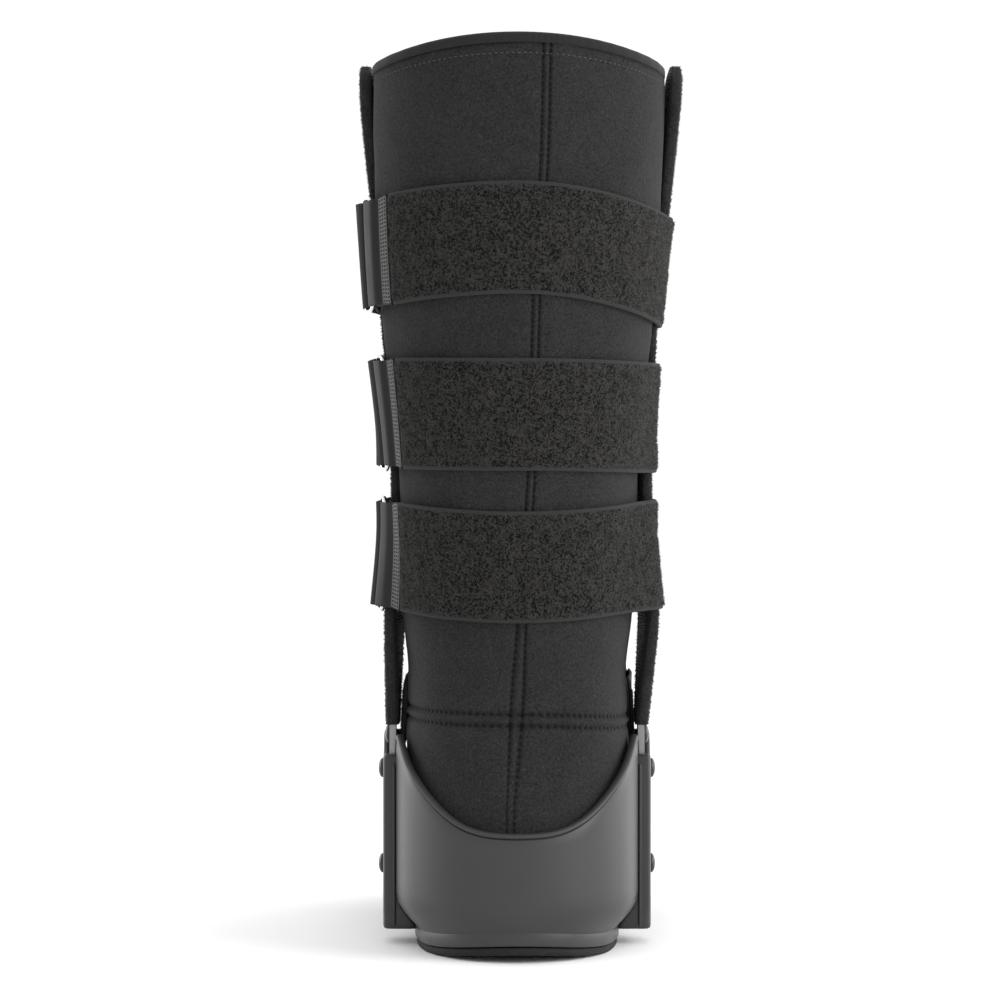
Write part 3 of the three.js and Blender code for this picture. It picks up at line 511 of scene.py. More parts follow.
class Graph:
    """A node tree being built."""

    def __init__(self, tree: bpy.types.NodeTree) -> None:
        """Keeps the tree."""
        self.tree = tree

    def node(self, kind: str, settings: Optional[dict] = None, inputs: Optional[dict] = None) -> Any:
        """Adds a node.

        Args:
            kind: Type name of the node.
            settings: Properties, set first.
            inputs: Numbers, wires or sockets of its inputs, by name or number.

        Returns:
            The node.
        """
        made = self.tree.nodes.new(kind)
        for key, value in (settings or {}).items():
            setattr(made, key, value)
        for key, value in (inputs or {}).items():
            self.feed(made.inputs[key], value)
        return made

    def feed(self, socket: Any, value: Any) -> None:
        """Sets or links an input socket.

        Args:
            socket: Input socket.
            value: Number, wire or output socket.
        """
        if isinstance(value, Wire):
            self.tree.links.new(value.socket, socket)
        elif isinstance(value, bpy.types.NodeSocket):
            self.tree.links.new(value, socket)
        else:
            socket.default_value = value

    def wire(
        self, kind: str, settings: Optional[dict] = None, inputs: Optional[dict] = None, out: Any = 0
    ) -> Wire:
        """Adds a node and takes one of its outputs."""
        return Wire(self, self.node(kind, settings, inputs).outputs[out])

    def place(self) -> Wire:
        """Object coordinates."""
        return self.wire("ShaderNodeTexCoord", out="Object")

    def cloth(self) -> tuple[Wire, Wire]:
        """Length and width coordinates of the piece's own map."""
        uv = self.wire("ShaderNodeUVMap", {"uv_map": "cloth"})
        parts = self.node("ShaderNodeSeparateXYZ", {}, {0: uv})
        return Wire(self, parts.outputs[0]), Wire(self, parts.outputs[1])

    def axes(self) -> tuple[Wire, Wire, Wire]:
        """Object coordinates one by one."""
        parts = self.node("ShaderNodeSeparateXYZ", {}, {0: self.place()})
        return tuple(Wire(self, out) for out in parts.outputs)

    def mark(self, name: str) -> Wire:
        """Named value of the mesh."""
        return self.wire("ShaderNodeAttribute", {"attribute_name": name}, out="Fac")

    def noise(self, size: float, detail: float = 2.0, stretch: Optional[Colour] = None) -> Wire:
        """Noise over object coordinates.

        Args:
            size: Size of its features in millimetres.
            detail: Octaves.
            stretch: Factors along X, Y and Z, or nothing.

        Returns:
            Value between 0 and 1.
        """
        vector = self.place()
        if stretch is not None:
            vector = self.wire("ShaderNodeMapping", {}, {"Vector": vector, "Scale": stretch})
        inputs = {"Vector": vector, "Scale": 1 / (size * MM), "Detail": detail, "Roughness": 0.6}
        return self.wire("ShaderNodeTexNoise", {"noise_dimensions": "3D"}, inputs, "Fac")

    def blend(self, factor: Any, first: Any, second: Any) -> Wire:
        """Mixes two colours.

        Args:
            factor: Share of the second colour.
            first: First colour.
            second: Second colour.

        Returns:
            The mixed colour.
        """
        inputs = {0: factor, 6: self.solid(first), 7: self.solid(second)}
        settings = {"data_type": "RGBA", "blend_type": "MIX"}
        return self.wire("ShaderNodeMix", settings, inputs, 2)

    @staticmethod
    def solid(colour: Any) -> Any:
        """Colour with its fourth channel, when it is a plain one."""
        return (*colour, 1.0) if isinstance(colour, tuple) and len(colour) == 3 else colour


@dataclass
class Surface:
    """What a finish varies over a surface.

    Attributes:
        colour: Base colour.
        roughness: Roughness.
        height: Height for the bump, or nothing.
        relief: Height of the bump in millimetres.
    """

    colour: Any
    roughness: Any
    height: Optional[Wire] = None
    relief: float = 0.1


@dataclass(frozen=True)
class Finish:
    """A procedural finish.

    Attributes:
        name: Name of the material.
        colour: Base colour, linear.
        roughness: Mean roughness.
        sheen: Weight of the fabric sheen.
        specular: Specular level.
        metallic: Metalness.
    """

    name: str
    colour: Colour
    roughness: float
    sheen: float = 0.0
    specular: float = 0.5
    metallic: float = 0.0

    def shade(self, factor: float) -> Colour:
        """Base colour made lighter or darker."""
        return tuple(factor * c for c in self.colour)

    def surface(self, graph: Graph) -> Surface:
        """Faint colour and roughness variation.

        Args:
            graph: Material graph.

        Returns:
            What varies over the surface.
        """
        wide = graph.noise(18)
        colour = graph.blend(wide, self.colour, self.shade(1.25))
        return Surface(colour, wide * 0.1 + (self.roughness - 0.05))

    def material(self) -> bpy.types.Material:
        """The material, made once.

        Returns:
            The material.
        """
        label = f"{self.name}_look"
        known = bpy.data.materials.get(label)
        if known is not None:
            return known
        material = bpy.data.materials.new(label)
        material.use_nodes = True
        material.node_tree.nodes.clear()
        material.diffuse_color = (*self.colour, 1.0)
        graph = Graph(material.node_tree)
        made = self.surface(graph)
        inputs = {
            "Base Color": graph.solid(made.colour),
            "Roughness": made.roughness,
            "Metallic": self.metallic,
            "Specular IOR Level": self.specular,
            "Sheen Weight": self.sheen,
            "Sheen Roughness": 0.5,
        }
        if made.height is not None:
            bump = {"Height": made.height, "Distance": made.relief * MM, "Strength": 1.0}
            inputs["Normal"] = graph.wire("ShaderNodeBump", {}, bump)
        shader = graph.node("ShaderNodeBsdfPrincipled", {}, inputs)
        graph.node("ShaderNodeOutputMaterial", {}, {"Surface": shader.outputs[0]})
        return material


@dataclass(frozen=True)
class FoamKnit(Finish):
    """Fine brushed knit over foam, with lint, soft wear and punched seams whose dents are painted darker as
    shade.

    Attributes:
        lint: Brightness of the lint specks.
        seam_half: Distance of each punched row from its seam.
        pitch: Distance between the dents in millimetres.
    """

    lint: float = 1.7
    seam_half: float = 2.5
    pitch: float = 2.9

    def dents(self, graph: Graph, seam: str) -> Wire:
        """Two rows of punched dents beside a seam.

        Args:
            graph: Material graph.
            seam: Name of the seam's marks.

        Returns:
            Depth of the dents between 0 and 1, which also masks their painted shade.
        """
        away = graph.mark(f"{seam}_aside").maths("ABSOLUTE") - self.seam_half
        row = (away * away * -1.0).maths("EXPONENT")
        return row * (graph.mark(f"{seam}_along").ripple(self.pitch) * 0.75 + 0.25)

    def surface(self, graph: Graph) -> Surface:
        """Brushed knit, with the seam dents painted darker as shade.

        Args:
            graph: Material graph.

        Returns:
            What varies over the surface.
        """
        fine = graph.noise(0.9, 4)
        patchy = graph.noise(9, 3)
        wide = graph.noise(55, 2)
        level = (fine - 0.5) * 2.5 + patchy * 0.35 + wide * 0.35 + 0.15
        base = graph.blend(level.clamped(), self.shade(0.4), self.shade(1.7))
        specks = graph.noise(1.1, 0).above(0.8, 0.05) * 0.35
        linty = graph.blend(specks, base, self.shade(1.7 * self.lint))
        dents = self.dents(graph, "rear") + self.dents(graph, "cross")
        # Painted shade: the dents are darkened towards near-black on top of their bump.
        colour = graph.blend((dents * 0.95).clamped(), linty, self.shade(0.25))
        height = fine + patchy * 0.4 - dents * 2.2
        return Surface(colour, fine * 0.12 + (self.roughness - 0.06), height, 0.34)


@dataclass(frozen=True)
class LoopPile(Finish):
    """Brushed loop pile between smoother bound edges.

    Attributes:
        edge: Colour of the bound edges.
    """

    edge: Colour = (0.05, 0.05, 0.05)

    def surface(self, graph: Graph) -> Surface:
        """Loops of random tone whose low gaps are painted darker as shade, and bound edges.

        Args:
            graph: Material graph.

        Returns:
            What varies over the surface.
        """
        pile = graph.mark("pile")
        loops = graph.noise(1.15, 6)
        clumps = graph.noise(3.8, 2)
        worn = graph.noise(40, 2)
        level = ((loops - 0.5) * 5.2 + (clumps - 0.5) * 1.2 + worn * 0.3 + 0.36).clamped()
        # Partly random tone, partly painted shade: the same noise that sinks the gaps in the bump darkens
        # them.
        loops_and_gap_shade = graph.blend(level, self.shade(0.15), self.shade(2.5))
        lengthwise, _ = graph.cloth()
        rib = lengthwise.ripple(0.9 * MM)
        bound = graph.blend(rib * 0.5 + loops * 0.4, tuple(0.75 * c for c in self.edge), self.edge)
        colour = graph.blend(pile, bound, loops_and_gap_shade)
        height = loops * pile + (1 - pile) * (rib * 0.12 + 0.6)
        return Surface(colour, self.roughness - 0.05 + loops * 0.05, height, 0.9)


@dataclass(frozen=True)
class Webbing(Finish):
    """Smooth woven webbing with a fine diagonal weave.

    Attributes:
        pitch: Distance between the diagonals in millimetres.
    """

    pitch: float = 1.1

    def surface(self, graph: Graph) -> Surface:
        """Fine twill.

        Args:
            graph: Material graph.

        Returns:
            What varies over the surface.
        """
        along, across = graph.cloth()
        twill = (along + across * 0.6).ripple(self.pitch * MM)
        yarn = across.ripple(self.pitch * MM / 1.9)
        cloudy = graph.noise(14, 2)
        level = (twill * 0.35 + yarn * 0.15 + cloudy * 0.5).clamped()
        colour = graph.blend(level, self.shade(0.78), self.shade(1.2))
        return Surface(colour, cloudy * 0.1 + (self.roughness - 0.05), twill * 0.7 + yarn * 0.3, 0.05)


@dataclass(frozen=True)
class HookStrip(Finish):
    """Ribbed strip of tiny hooks in rows across the strip.

    Attributes:
        pitch: Distance between the rows in millimetres.
    """

    pitch: float = 1.45

    def surface(self, graph: Graph) -> Surface:
        """Rows of hooks.

        Args:
            graph: Material graph.

        Returns:
            What varies over the surface.
        """
        _, _, up = graph.axes()
        rows = up.ripple(self.pitch * MM)
        speck = graph.noise(0.8, 2)
        level = (rows * 0.7 + speck * 0.7 - 0.25).clamped()
        colour = graph.blend(level, self.shade(0.3), self.shade(1.6))
        return Surface(colour, self.roughness, rows * 0.8 + speck * 0.4, 0.5)


@dataclass(frozen=True)
class Plush(Finish):
    """Short dense plush."""

    def surface(self, graph: Graph) -> Surface:
        """Nap with a soft mottle.

        Args:
            graph: Material graph.

        Returns:
            What varies over the surface.
        """
        nap = graph.noise(0.9, 4)
        cloudy = graph.noise(12, 2)
        level = ((nap - 0.5) * 2.0 + cloudy * 0.5 + 0.25).clamped()
        colour = graph.blend(level, self.shade(0.45), self.shade(1.6))
        return Surface(colour, self.roughness, nap, 0.55)


@dataclass(frozen=True)
class MouldedPlastic(Finish):
    """Satin moulded plastic with a fine grain and faint scuffs."""

    def surface(self, graph: Graph) -> Surface:
        """Grain, flow marks and scuffs.

        Args:
            graph: Material graph.

        Returns:
            What varies over the surface.
        """
        fine = graph.noise(0.35, 2)
        flow = graph.noise(28, 3, (1.0, 1.0, 0.35))
        scuff = graph.noise(2.2, 5, (1.0, 1.0, 6.0)).above(0.72, 0.12)
        colour = graph.blend(flow, self.shade(0.88), self.shade(1.12))
        worn = graph.blend(scuff * 0.25, colour, self.shade(2.2))
        rough = flow * 0.12 + scuff * 0.08 + (self.roughness - 0.06)
        return Surface(worn, rough, fine * 0.6 + flow * 0.4, 0.012)


@dataclass(frozen=True)
class TreadRubber(Finish):
    """Matt rubber, paler where it has scraped the ground."""

    def surface(self, graph: Graph) -> Surface:
        """Speckle and scrapes.

        Args:
            graph: Material graph.

        Returns:
            What varies over the surface.
        """
        fine = graph.noise(0.5, 3)
        scrape = graph.noise(3.5, 4, (1.0, 0.3, 3.0)).above(0.6, 0.15)
        base = graph.blend(fine, self.shade(0.8), self.shade(1.2))
        colour = graph.blend(scrape * 0.35, base, self.shade(2.6))
        return Surface(colour, fine * 0.1 + (self.roughness - 0.05), fine + scrape * 0.5, 0.05)


@dataclass(frozen=True)
class BrushedMetal(Finish):
    """Metal with fine lines along one way and faint stains.

    Attributes:
        stretch: Factors of the line pattern along X, Y and Z.
    """

    stretch: Colour = (1.0, 1.0, 0.03)

    def surface(self, graph: Graph) -> Surface:
        """Fine lines.

        Args:
            graph: Material graph.

        Returns:
            What varies over the surface.
        """
        lines = graph.noise(0.25, 3, self.stretch)
        stain = graph.noise(7, 3)
        level = lines * 0.6 + stain * 0.5
        colour = graph.blend(level.clamped(), self.shade(0.8), self.colour)
        rough = lines * 0.14 + stain * 0.1 + (self.roughness - 0.1)
        return Surface(colour, rough, lines, 0.006)


NEUTRAL: Colour = (0.98, 1.0, 1.0)
FOAM = FoamKnit("foam_knit", tone(36, NEUTRAL), 0.92, sheen=0.03, specular=0.14)
PILE = LoopPile("loop_pile", tone(31, (1.03, 1.0, 0.95)), 0.98, sheen=0.04, specular=0.1, edge=tone(53))
TAPE = Webbing("binding_tape", tone(32), 0.85, sheen=0.05, specular=0.2, pitch=0.8)
LOOP_WEBBING = Webbing("loop_webbing", tone(27, NEUTRAL), 0.6, sheen=0.0, specular=0.2)
# Weld rims painted far lighter than the webbing, as highlight on the fused ridges.
WELD_RIM_HIGHLIGHT = Webbing("weld_rim_painted_highlight", tone(100), 0.45, specular=0.5)
# Flat near-black plates inside the weld rims: painted shade of the pits.
PIT_SHADE = Finish("weld_pit_painted_shade", tone(14), 0.7, specular=0.2)
PLUSH = Plush("sleeve_plush", tone(41), 0.98, sheen=0.05, specular=0.1)
HOOKS = HookStrip("hook_rows", tone(44), 0.7, specular=0.2)
PALE_THREAD = Finish("pale_thread", tone(62), 0.75, sheen=0.05, specular=0.2)
# Near-black beads that stand for the seams' needle holes: painted shade of the holes rather than thread
# colour.
NEEDLE_HOLE_SHADE = Finish("punched_hole_painted_shade", tone(17), 0.95, specular=0.1)
PLASTIC = MouldedPlastic("shell_plastic", tone(45, NEUTRAL), 0.42, specular=0.42)
RUBBER = TreadRubber("sole_rubber", tone(28), 0.8, specular=0.25)
ALUMINIUM = BrushedMetal("bar_aluminium", tone(148, (0.99, 1.0, 1.02)), 0.38, metallic=1.0)
STEEL = BrushedMetal("ring_steel", tone(225), 0.2, metallic=1.0)
BLACK_METAL = BrushedMetal("black_metal", tone(44), 0.3, metallic=0.4, stretch=(1.0, 1.0, 1.0))
PILE_NAP = Plush("pile_nap", tone(66, (1.03, 1.0, 0.95)), 0.95, sheen=0.04, specular=0.1)

# Pitch, length, width and rise of stitches in millimetres
PUNCHED_ROW = (2.9, 1.5, 0.8, 0.6)
TOPSTITCH = (2.6, 1.7, 0.55, 0.5)
SLEEVE_STITCH = (2.6, 1.3, 0.7, 0.6)


# Repeated details by Geometry Nodes


class Repeat:
    """A Geometry Nodes tree with named inputs that turns a guide mesh into repeated details."""

    def __init__(self, name: str, sizes: dict[str, Any]) -> None:
        """Makes the tree and its sockets.

        Args:
            name: Name of the tree.
            sizes: Defaults of its inputs besides the guide, in metres.
        """
        self.tree = bpy.data.node_groups.new(name, "GeometryNodeTree")
        interface = self.tree.interface
        interface.new_socket("Guide", in_out="INPUT", socket_type="NodeSocketGeometry")
        self.sockets: dict[str, str] = {}
        for key, value in sizes.items():
            kind = "NodeSocketInt" if isinstance(value, int) else "NodeSocketFloat"
            socket = interface.new_socket(key, in_out="INPUT", socket_type=kind)
            socket.default_value = value
            self.sockets[key] = socket.identifier
        interface.new_socket("Details", in_out="OUTPUT", socket_type="NodeSocketGeometry")
        self.graph = Graph(self.tree)
        self.entry = self.graph.node("NodeGroupInput")
        self.exit = self.graph.node("NodeGroupOutput")

    def size(self, name: str) -> Wire:
        """One of the tree's named inputs."""
        return Wire(self.graph, self.entry.outputs[name])

    def vector_mark(self, name: str) -> Wire:
        """Named vector of the guide."""
        settings = {"data_type": "FLOAT_VECTOR"}
        return self.graph.wire("GeometryNodeInputNamedAttribute", settings, {"Name": name})

    def aligned(self, axis: str, vector: Any, rotation: Any = None, pivot: str = "AUTO") -> Wire:
        """Rotation that turns an axis towards a vector.

        Args:
            axis: Axis that is turned.
            vector: Where it points.
            rotation: Rotation to start from.
            pivot: Axis that stays.

        Returns:
            The rotation.
        """
        settings = {"axis": axis, "pivot_axis": pivot}
        inputs = {"Vector": vector}
        if rotation is not None:
            inputs["Rotation"] = rotation
        return self.graph.wire("FunctionNodeAlignRotationToVector", settings, inputs)

    def faced(self, along: Wire) -> Wire:
        """Rotation with X along a vector and Z towards the guide's facing."""
        return self.aligned("Z", self.vector_mark("facing"), self.aligned("X", along), "X")

    def spread(self, inputs: dict, finish: Finish) -> Any:
        """Sets details on points, realises them and gives them their material.

        Args:
            inputs: Points, instance and turn of the details.
            finish: Finish of the details.

        Returns:
            The geometry's socket.
        """
        placed = self.graph.node("GeometryNodeInstanceOnPoints", {}, inputs)
        real = self.graph.node("GeometryNodeRealizeInstances", {}, {0: placed.outputs[0]})
        smooth = self.graph.node("GeometryNodeSetShadeSmooth", {}, {0: real.outputs[0]})
        inputs = {"Geometry": smooth.outputs[0], "Material": finish.material()}
        return self.graph.node("GeometryNodeSetMaterial", {}, inputs).outputs[0]

    def close(self, geometry: Any) -> None:
        """Links the tree's result."""
        self.graph.feed(self.exit.inputs[0], geometry)

    def run(self, name: str, guide: bpy.types.Object, values: dict) -> bpy.types.Object:
        """Runs the tree on a guide and keeps the result as a plain mesh.

        Args:
            name: Name of the made object.
            guide: Object with the guide mesh, which stays.
            values: Sizes by input name.

        Returns:
            The made object.
        """
        modifier = guide.modifiers.new(name, "NODES")
        modifier.node_group = self.tree
        for key, value in values.items():
            modifier[self.sockets[key]] = value
        graph = bpy.context.evaluated_depsgraph_get()
        mesh = bpy.data.meshes.new_from_object(guide.evaluated_get(graph), depsgraph=graph)
        guide.modifiers.remove(modifier)
        mesh.name = name
        return put(name, mesh)


def point_guide(name: str, points: Array, marks: dict, edges: Optional[list] = None) -> bpy.types.Object:
    """Guide mesh of loose points or lines.

    Args:
        name: Name of the guide.
        points: Points in millimetres.
        marks: Named vectors of the points.
        edges: Pairs of point numbers.

    Returns:
        The guide object.
    """
    mesh = bpy.data.meshes.new(name)
    mesh.from_pydata((points * MM).tolist(), edges or [], [])
    for key, values in marks.items():
        mark = mesh.attributes.new(key, "FLOAT_VECTOR", "POINT")
        mark.data.foreach_set("vector", np.asarray(values, np.float32).ravel())
    return put(name, mesh)


def drop(guide: bpy.types.Object) -> None:
    """Removes a guide object and its mesh."""
    mesh = guide.data
    bpy.data.objects.remove(guide)
    bpy.data.meshes.remove(mesh)


def stitch_tree(name: str, finish: Finish) -> Repeat:
    """Tree that sews a row of stitches along each line of its guide.

    Args:
        name: Name of the tree.
        finish: Finish of the thread.

    Returns:
        The tree.
    """
    tree = Repeat(name, {"Pitch": 0.003, "Length": 0.002, "Width": 0.0008, "Rise": 0.0008})
    graph = tree.graph
    curve = graph.node("GeometryNodeMeshToCurve", {}, {0: tree.entry.outputs["Guide"]})
    spaced = {"Curve": curve.outputs[0], "Length": tree.size("Pitch")}
    resampled = graph.node("GeometryNodeResampleCurve", {"mode": "LENGTH"}, spaced)
    bead = graph.node("GeometryNodeMeshUVSphere", {}, {"Segments": 6, "Rings": 4, "Radius": 0.5})
    turned = tree.faced(graph.wire("GeometryNodeInputTangent"))
    parts = {"X": tree.size("Length"), "Y": tree.size("Width"), "Z": tree.size("Rise")}
    scale = graph.wire("ShaderNodeCombineXYZ", {}, parts)
    inputs = {"Points": resampled.outputs[0], "Instance": bead.outputs[0]}
    inputs |= {"Rotation": turned, "Scale": scale}
    tree.close(tree.spread(inputs, finish))
    return tree


def tuft_tree(name: str, finish: Finish) -> Repeat:
    """Tree that stands short bent tufts on the marked pile of its guide.

    Args:
        name: Name of the tree.
        finish: Finish of the tufts.

    Returns:
        The tree.
    """
    sizes = {"Density": 100000.0, "Height": 0.0009, "Radius": 0.0002, "Lean": 1.0, "Seed": 3}
    tree = Repeat(name, sizes)
    graph = tree.graph
    settings = {"data_type": "FLOAT"}
    pile = graph.wire("GeometryNodeInputNamedAttribute", settings, {"Name": "pile"})
    density = tree.size("Density") * pile
    inputs = {"Mesh": tree.entry.outputs["Guide"], "Density": density, "Seed": tree.size("Seed")}
    spread = graph.node("GeometryNodeDistributePointsOnFaces", {"distribute_method": "RANDOM"}, inputs)
    shape = {"Vertices": 3, "Radius Top": 0.0}
    shape |= {"Radius Bottom": tree.size("Radius"), "Depth": tree.size("Height")}
    cone = graph.node("GeometryNodeMeshCone", {"fill_type": "NONE"}, shape)
    lean = tree.size("Lean")
    low = graph.wire("ShaderNodeCombineXYZ", {}, {"X": lean * -1.0, "Y": lean * -1.0, "Z": 0.0})
    high = graph.wire("ShaderNodeCombineXYZ", {}, {"X": lean, "Y": lean, "Z": 6.0})
    random = {0: low, 1: high, "Seed": tree.size("Seed")}
    angles = graph.wire("FunctionNodeRandomValue", {"data_type": "FLOAT_VECTOR"}, random)
    bent = graph.wire("FunctionNodeEulerToRotation", {}, {0: angles})
    turned = {"Rotation": spread.outputs["Rotation"], "Rotate By": bent}
    rotation = graph.wire("FunctionNodeRotateRotation", {"rotation_space": "LOCAL"}, turned)
    inputs = {"Points": spread.outputs["Points"], "Instance": cone.outputs[0], "Rotation": rotation}
    tree.close(tree.spread(inputs, finish))
    return tree


def weld_tree(name: str) -> Repeat:
    """Tree that sets a small rim round a flat plate on each of its guide's points, the plate near-black as
    painted pit shade.

    Args:
        name: Name of the tree.

    Returns:
        The tree.
    """
    tree = Repeat(name, {"Width": 0.0012, "Height": 0.0009, "Rim": 0.0002})
    graph = tree.graph
    shape = {"Width": tree.size("Width"), "Height": tree.size("Height")}
    frame = graph.node("GeometryNodeCurvePrimitiveQuadrilateral", {"mode": "RECTANGLE"}, shape)
    thin = {"Resolution": 4, "Radius": tree.size("Rim")}
    section = graph.node("GeometryNodeCurvePrimitiveCircle", {}, thin)
    swept = {"Curve": frame.outputs[0], "Profile Curve": section.outputs[0]}
    rim = graph.node("GeometryNodeCurveToMesh", {}, swept)
    plate = {"Size X": tree.size("Width"), "Size Y": tree.size("Height"), "Vertices X": 2, "Vertices Y": 2}
    pit_shade_plate = graph.node("GeometryNodeMeshGrid", {}, plate)
    turned = tree.faced(tree.vector_mark("along"))
    joined = graph.node("GeometryNodeJoinGeometry")
    # The rims carry a painted highlight and the flat plates the painted shade of the pits.
    for shape_out, finish in ((rim.outputs[0], WELD_RIM_HIGHLIGHT), (pit_shade_plate.outputs[0], PIT_SHADE)):
        inputs = {"Points": tree.entry.outputs["Guide"], "Instance": shape_out, "Rotation": turned}
        graph.tree.links.new(tree.spread(inputs, finish), joined.inputs[0])
    tree.close(joined.outputs[0])
    return tree


def rivet_tree(name: str) -> Repeat:
    """Tree that sets a domed rivet head with its flange on each point of its guide.

    Args:
        name: Name of the tree.

    Returns:
        The tree.
    """
    tree = Repeat(name, {"Head": 0.009, "Rise": 0.002})
    graph = tree.graph
    dome = graph.node("GeometryNodeMeshUVSphere", {}, {"Segments": 28, "Rings": 14, "Radius": 0.5})
    inputs = {"X": tree.size("Head"), "Y": tree.size("Head"), "Z": tree.size("Rise") * 1.7}
    scale = graph.wire("ShaderNodeCombineXYZ", {}, inputs)
    shaped = graph.node("GeometryNodeTransform", {}, {"Geometry": dome.outputs[0], "Scale": scale})
    shape = {"Vertices": 28, "Radius": tree.size("Head") * 0.5, "Depth": tree.size("Rise") * 0.3}
    flange = graph.node("GeometryNodeMeshCylinder", {}, shape)
    joined = graph.node("GeometryNodeJoinGeometry")
    for part in (shaped, flange):
        graph.tree.links.new(part.outputs[0], joined.inputs[0])
    turned = tree.aligned("Z", tree.vector_mark("facing"))
    inputs = {"Points": tree.entry.outputs["Guide"], "Instance": joined.outputs[0], "Rotation": turned}
    tree.close(tree.spread(inputs, BLACK_METAL))
    return tree


# Sizes shared by the sub-assemblies


@dataclass(frozen=True)
class BootSizes:
    """Sizes that several sub-assemblies share, as in the CAD frame."""

    clearance: float = 0.3
    soft_clearance: float = 0.85
    sole_length: float = 280
    heel_back: float = 75
    sole_thickness: float = 3.5
    band_height: float = 6
    floor_thickness: float = 7.2
    flat_back: float = 30
    flat_front: float = 105
    heel_lift: float = 4.7
    toe_lift: float = 14
    shell_wall: float = 3
    tip_height: float = 98
    flare_height: float = 14
    liner_height: float = 408
    calf_width: float = 135
    calf_depth: float = 130
    ankle_width: float = 101
    liner_wall: float = 5
    foot_length: float = 237
    instep_height: float = 107
    bar_width: float = 19
    bar_thickness: float = 3
    bar_forward: float = 8
    sleeve_width: float = 32
    sleeve_fabric: float = 1.3
    sleeve_foot: float = 101
    sleeve_tip: float = 22
    sleeve_turn: float = 8
    socket_foot: float = 7
    socket_top: float = 87
    socket_wall: float = 3
    socket_width: float = 28

    @property
    def half_width(self) -> float:
        """Half the outer width of the shell."""
        return self.ankle_width / 2 + 1.5 + self.shell_wall

    @property
    def bar_seat(self) -> float:
        """Distance of a bar's middle from the middle plane in its socket."""
        return self.half_width + 0.5 + self.bar_thickness / 2

    @property
    def socket_face(self) -> float:
        """Distance of the sockets' outer faces from the middle plane."""
        return self.bar_seat + self.bar_thickness / 2 + self.socket_wall

    @property
    def sleeve_thickness(self) -> float:
        """Outer thickness of a sleeve."""
        return self.bar_thickness + 2 * self.clearance + 2 * self.sleeve_fabric

    @property
    def sleeve_top(self) -> float:
        """Height of a sleeve's tip."""
        return self.liner_height - 6

    @property
    def floor_height(self) -> float:
        """Height of the shell's floor over the rocker's curve."""
        return self.sole_thickness + self.clearance + self.floor_thickness

    @property
    def step_height(self) -> float:
        """Height of the step between the lower band and the shell's wall."""
        return self.sole_thickness + self.clearance + self.band_height

    @property
    def liner_heel(self) -> float:
        """Distance of the liner's heel behind the leg's axis."""
        return self.heel_back - self.shell_wall - 3

    def rocker(self, y: Array) -> Array:
        """Rise of the sole's underside above the ground.

        Args:
            y: Places along the foot.

        Returns:
            Heights.
        """
        y = np.asarray(y, float)
        back = np.clip((-self.flat_back - y) / (self.heel_back - self.flat_back), 0, 2)
        reach = self.sole_length - self.heel_back - self.flat_front
        front = np.clip((y - self.flat_front) / reach, 0, 2)
        return self.heel_lift * back**2 + self.toe_lift * front**2


SIZES = BootSizes()

# Shares of the calf's depth and width and of the liner's height, from the top down
LEG_SECTIONS = {
    "back": (0.477, 0.49, 0.505, 0.5, 0.47, 0.435, 0.405),
    "back_height": (1.0, 0.91, 0.8, 0.69, 0.58, 0.47, 0.37),
    "front": (0.49, 0.49, 0.485, 0.465, 0.44, 0.425, 0.43),
    "front_height": (0.985, 0.9, 0.8, 0.69, 0.58, 0.475, 0.395),
    "width": (0.99, 1.0, 0.985, 0.935, 0.85, 0.8, 0.775),
    "dip": (0.022, 0.01, 0, 0, 0, 0, 0),
}

# Shares of the foot's length, the instep's height and the ankle's width, towards the toe
FOOT_SECTIONS = {
    "back": (0.075, 0.05, 0.012, 0.0, 0.04, 0.15, 0.3, 0.48, 0.7, 0.965),
    "rise": (0.985, 0.74, 0.46, 0.24, 0.03, 0, 0, 0, 0, 0),
    "front": (0.54, 0.565, 0.598, 0.632, 0.672, 0.72, 0.775, 0.84, 0.9, 0.98),
    "height": (1.245, 1.09, 0.98, 0.905, 0.835, 0.775, 0.72, 0.67, 0.625, 0.585),
    "width": (0.975, 0.98, 1.0, 1.0, 0.99, 0.98, 0.97, 0.965, 0.95, 0.87),
}

# Distances from the middle plane as shares of half the calf's width, and turns as shares
UPRIGHT_ROUTE = {
    "height": (0.37, 0.47, 0.58, 0.69, 0.8, 0.91, 0.985),
    "left": (0.835, 0.785, 0.79, 0.85, 0.905, 0.98, 1.025),
    "right": (0.902, 0.848, 0.848, 0.88, 0.95, 1.025, 1.075),
    "turn": (1, 1, 1, 1, 1, 0.8, 0.5),
}

# Shares of the sole's length and of the shell's half width, from heel to toe
PLAN_OUTLINE = {
    "along": (0.0, 0.03, 0.113, 0.22, 0.36, 0.5, 0.64, 0.77, 0.88, 0.96, 0.992),
    "sole": (0, 0.42, 0.71, 0.83, 0.86, 0.88, 0.94, 0.94, 0.8, 0.5, 0),
    "shell": (0, 0.5, 0.855, 0.995, 1.0, 0.965, 1.0, 0.99, 0.845, 0.53, 0),
    "inset": (0.012, 0.012, 0.01, 0, 0, 0, 0, 0, -0.002, -0.005, -0.008),
}

# Height at the back, right, front and left as shares of the liner's height, then the angles of
# ring, weld and groove and the weld's slant in degrees, and the pitch of the weld in millimetres
CALF_STRAPS = {
    "upper": (0.788, 0.753, 0.755, 0.77, -71.5, -51.5, 22.5, 0.75, 1.9),
    "middle": (0.596, 0.591, 0.592, 0.597, -73.0, -53.0, 24.0, -0.7, 1.6),
    "lower": (0.429, 0.439, 0.44, 0.44, -83.0, -62.0, None, -1.5, 2.2),
}

# Height of the shell's rim as shares of its highest tip, along the sole's length
RIM_LINE = {
    "along": (0.0, 0.012, 0.03, 0.07, 0.113, 0.165, 0.222, 0.252, 0.355, 0.42, 0.51, 0.62, 0.78, 1.0),
    "height": (0.587, 0.6, 0.64, 0.735, 0.83, 0.925, 1.0, 0.9, 0.89, 0.74, 0.53, 0.43, 0.38, 0.34),
}


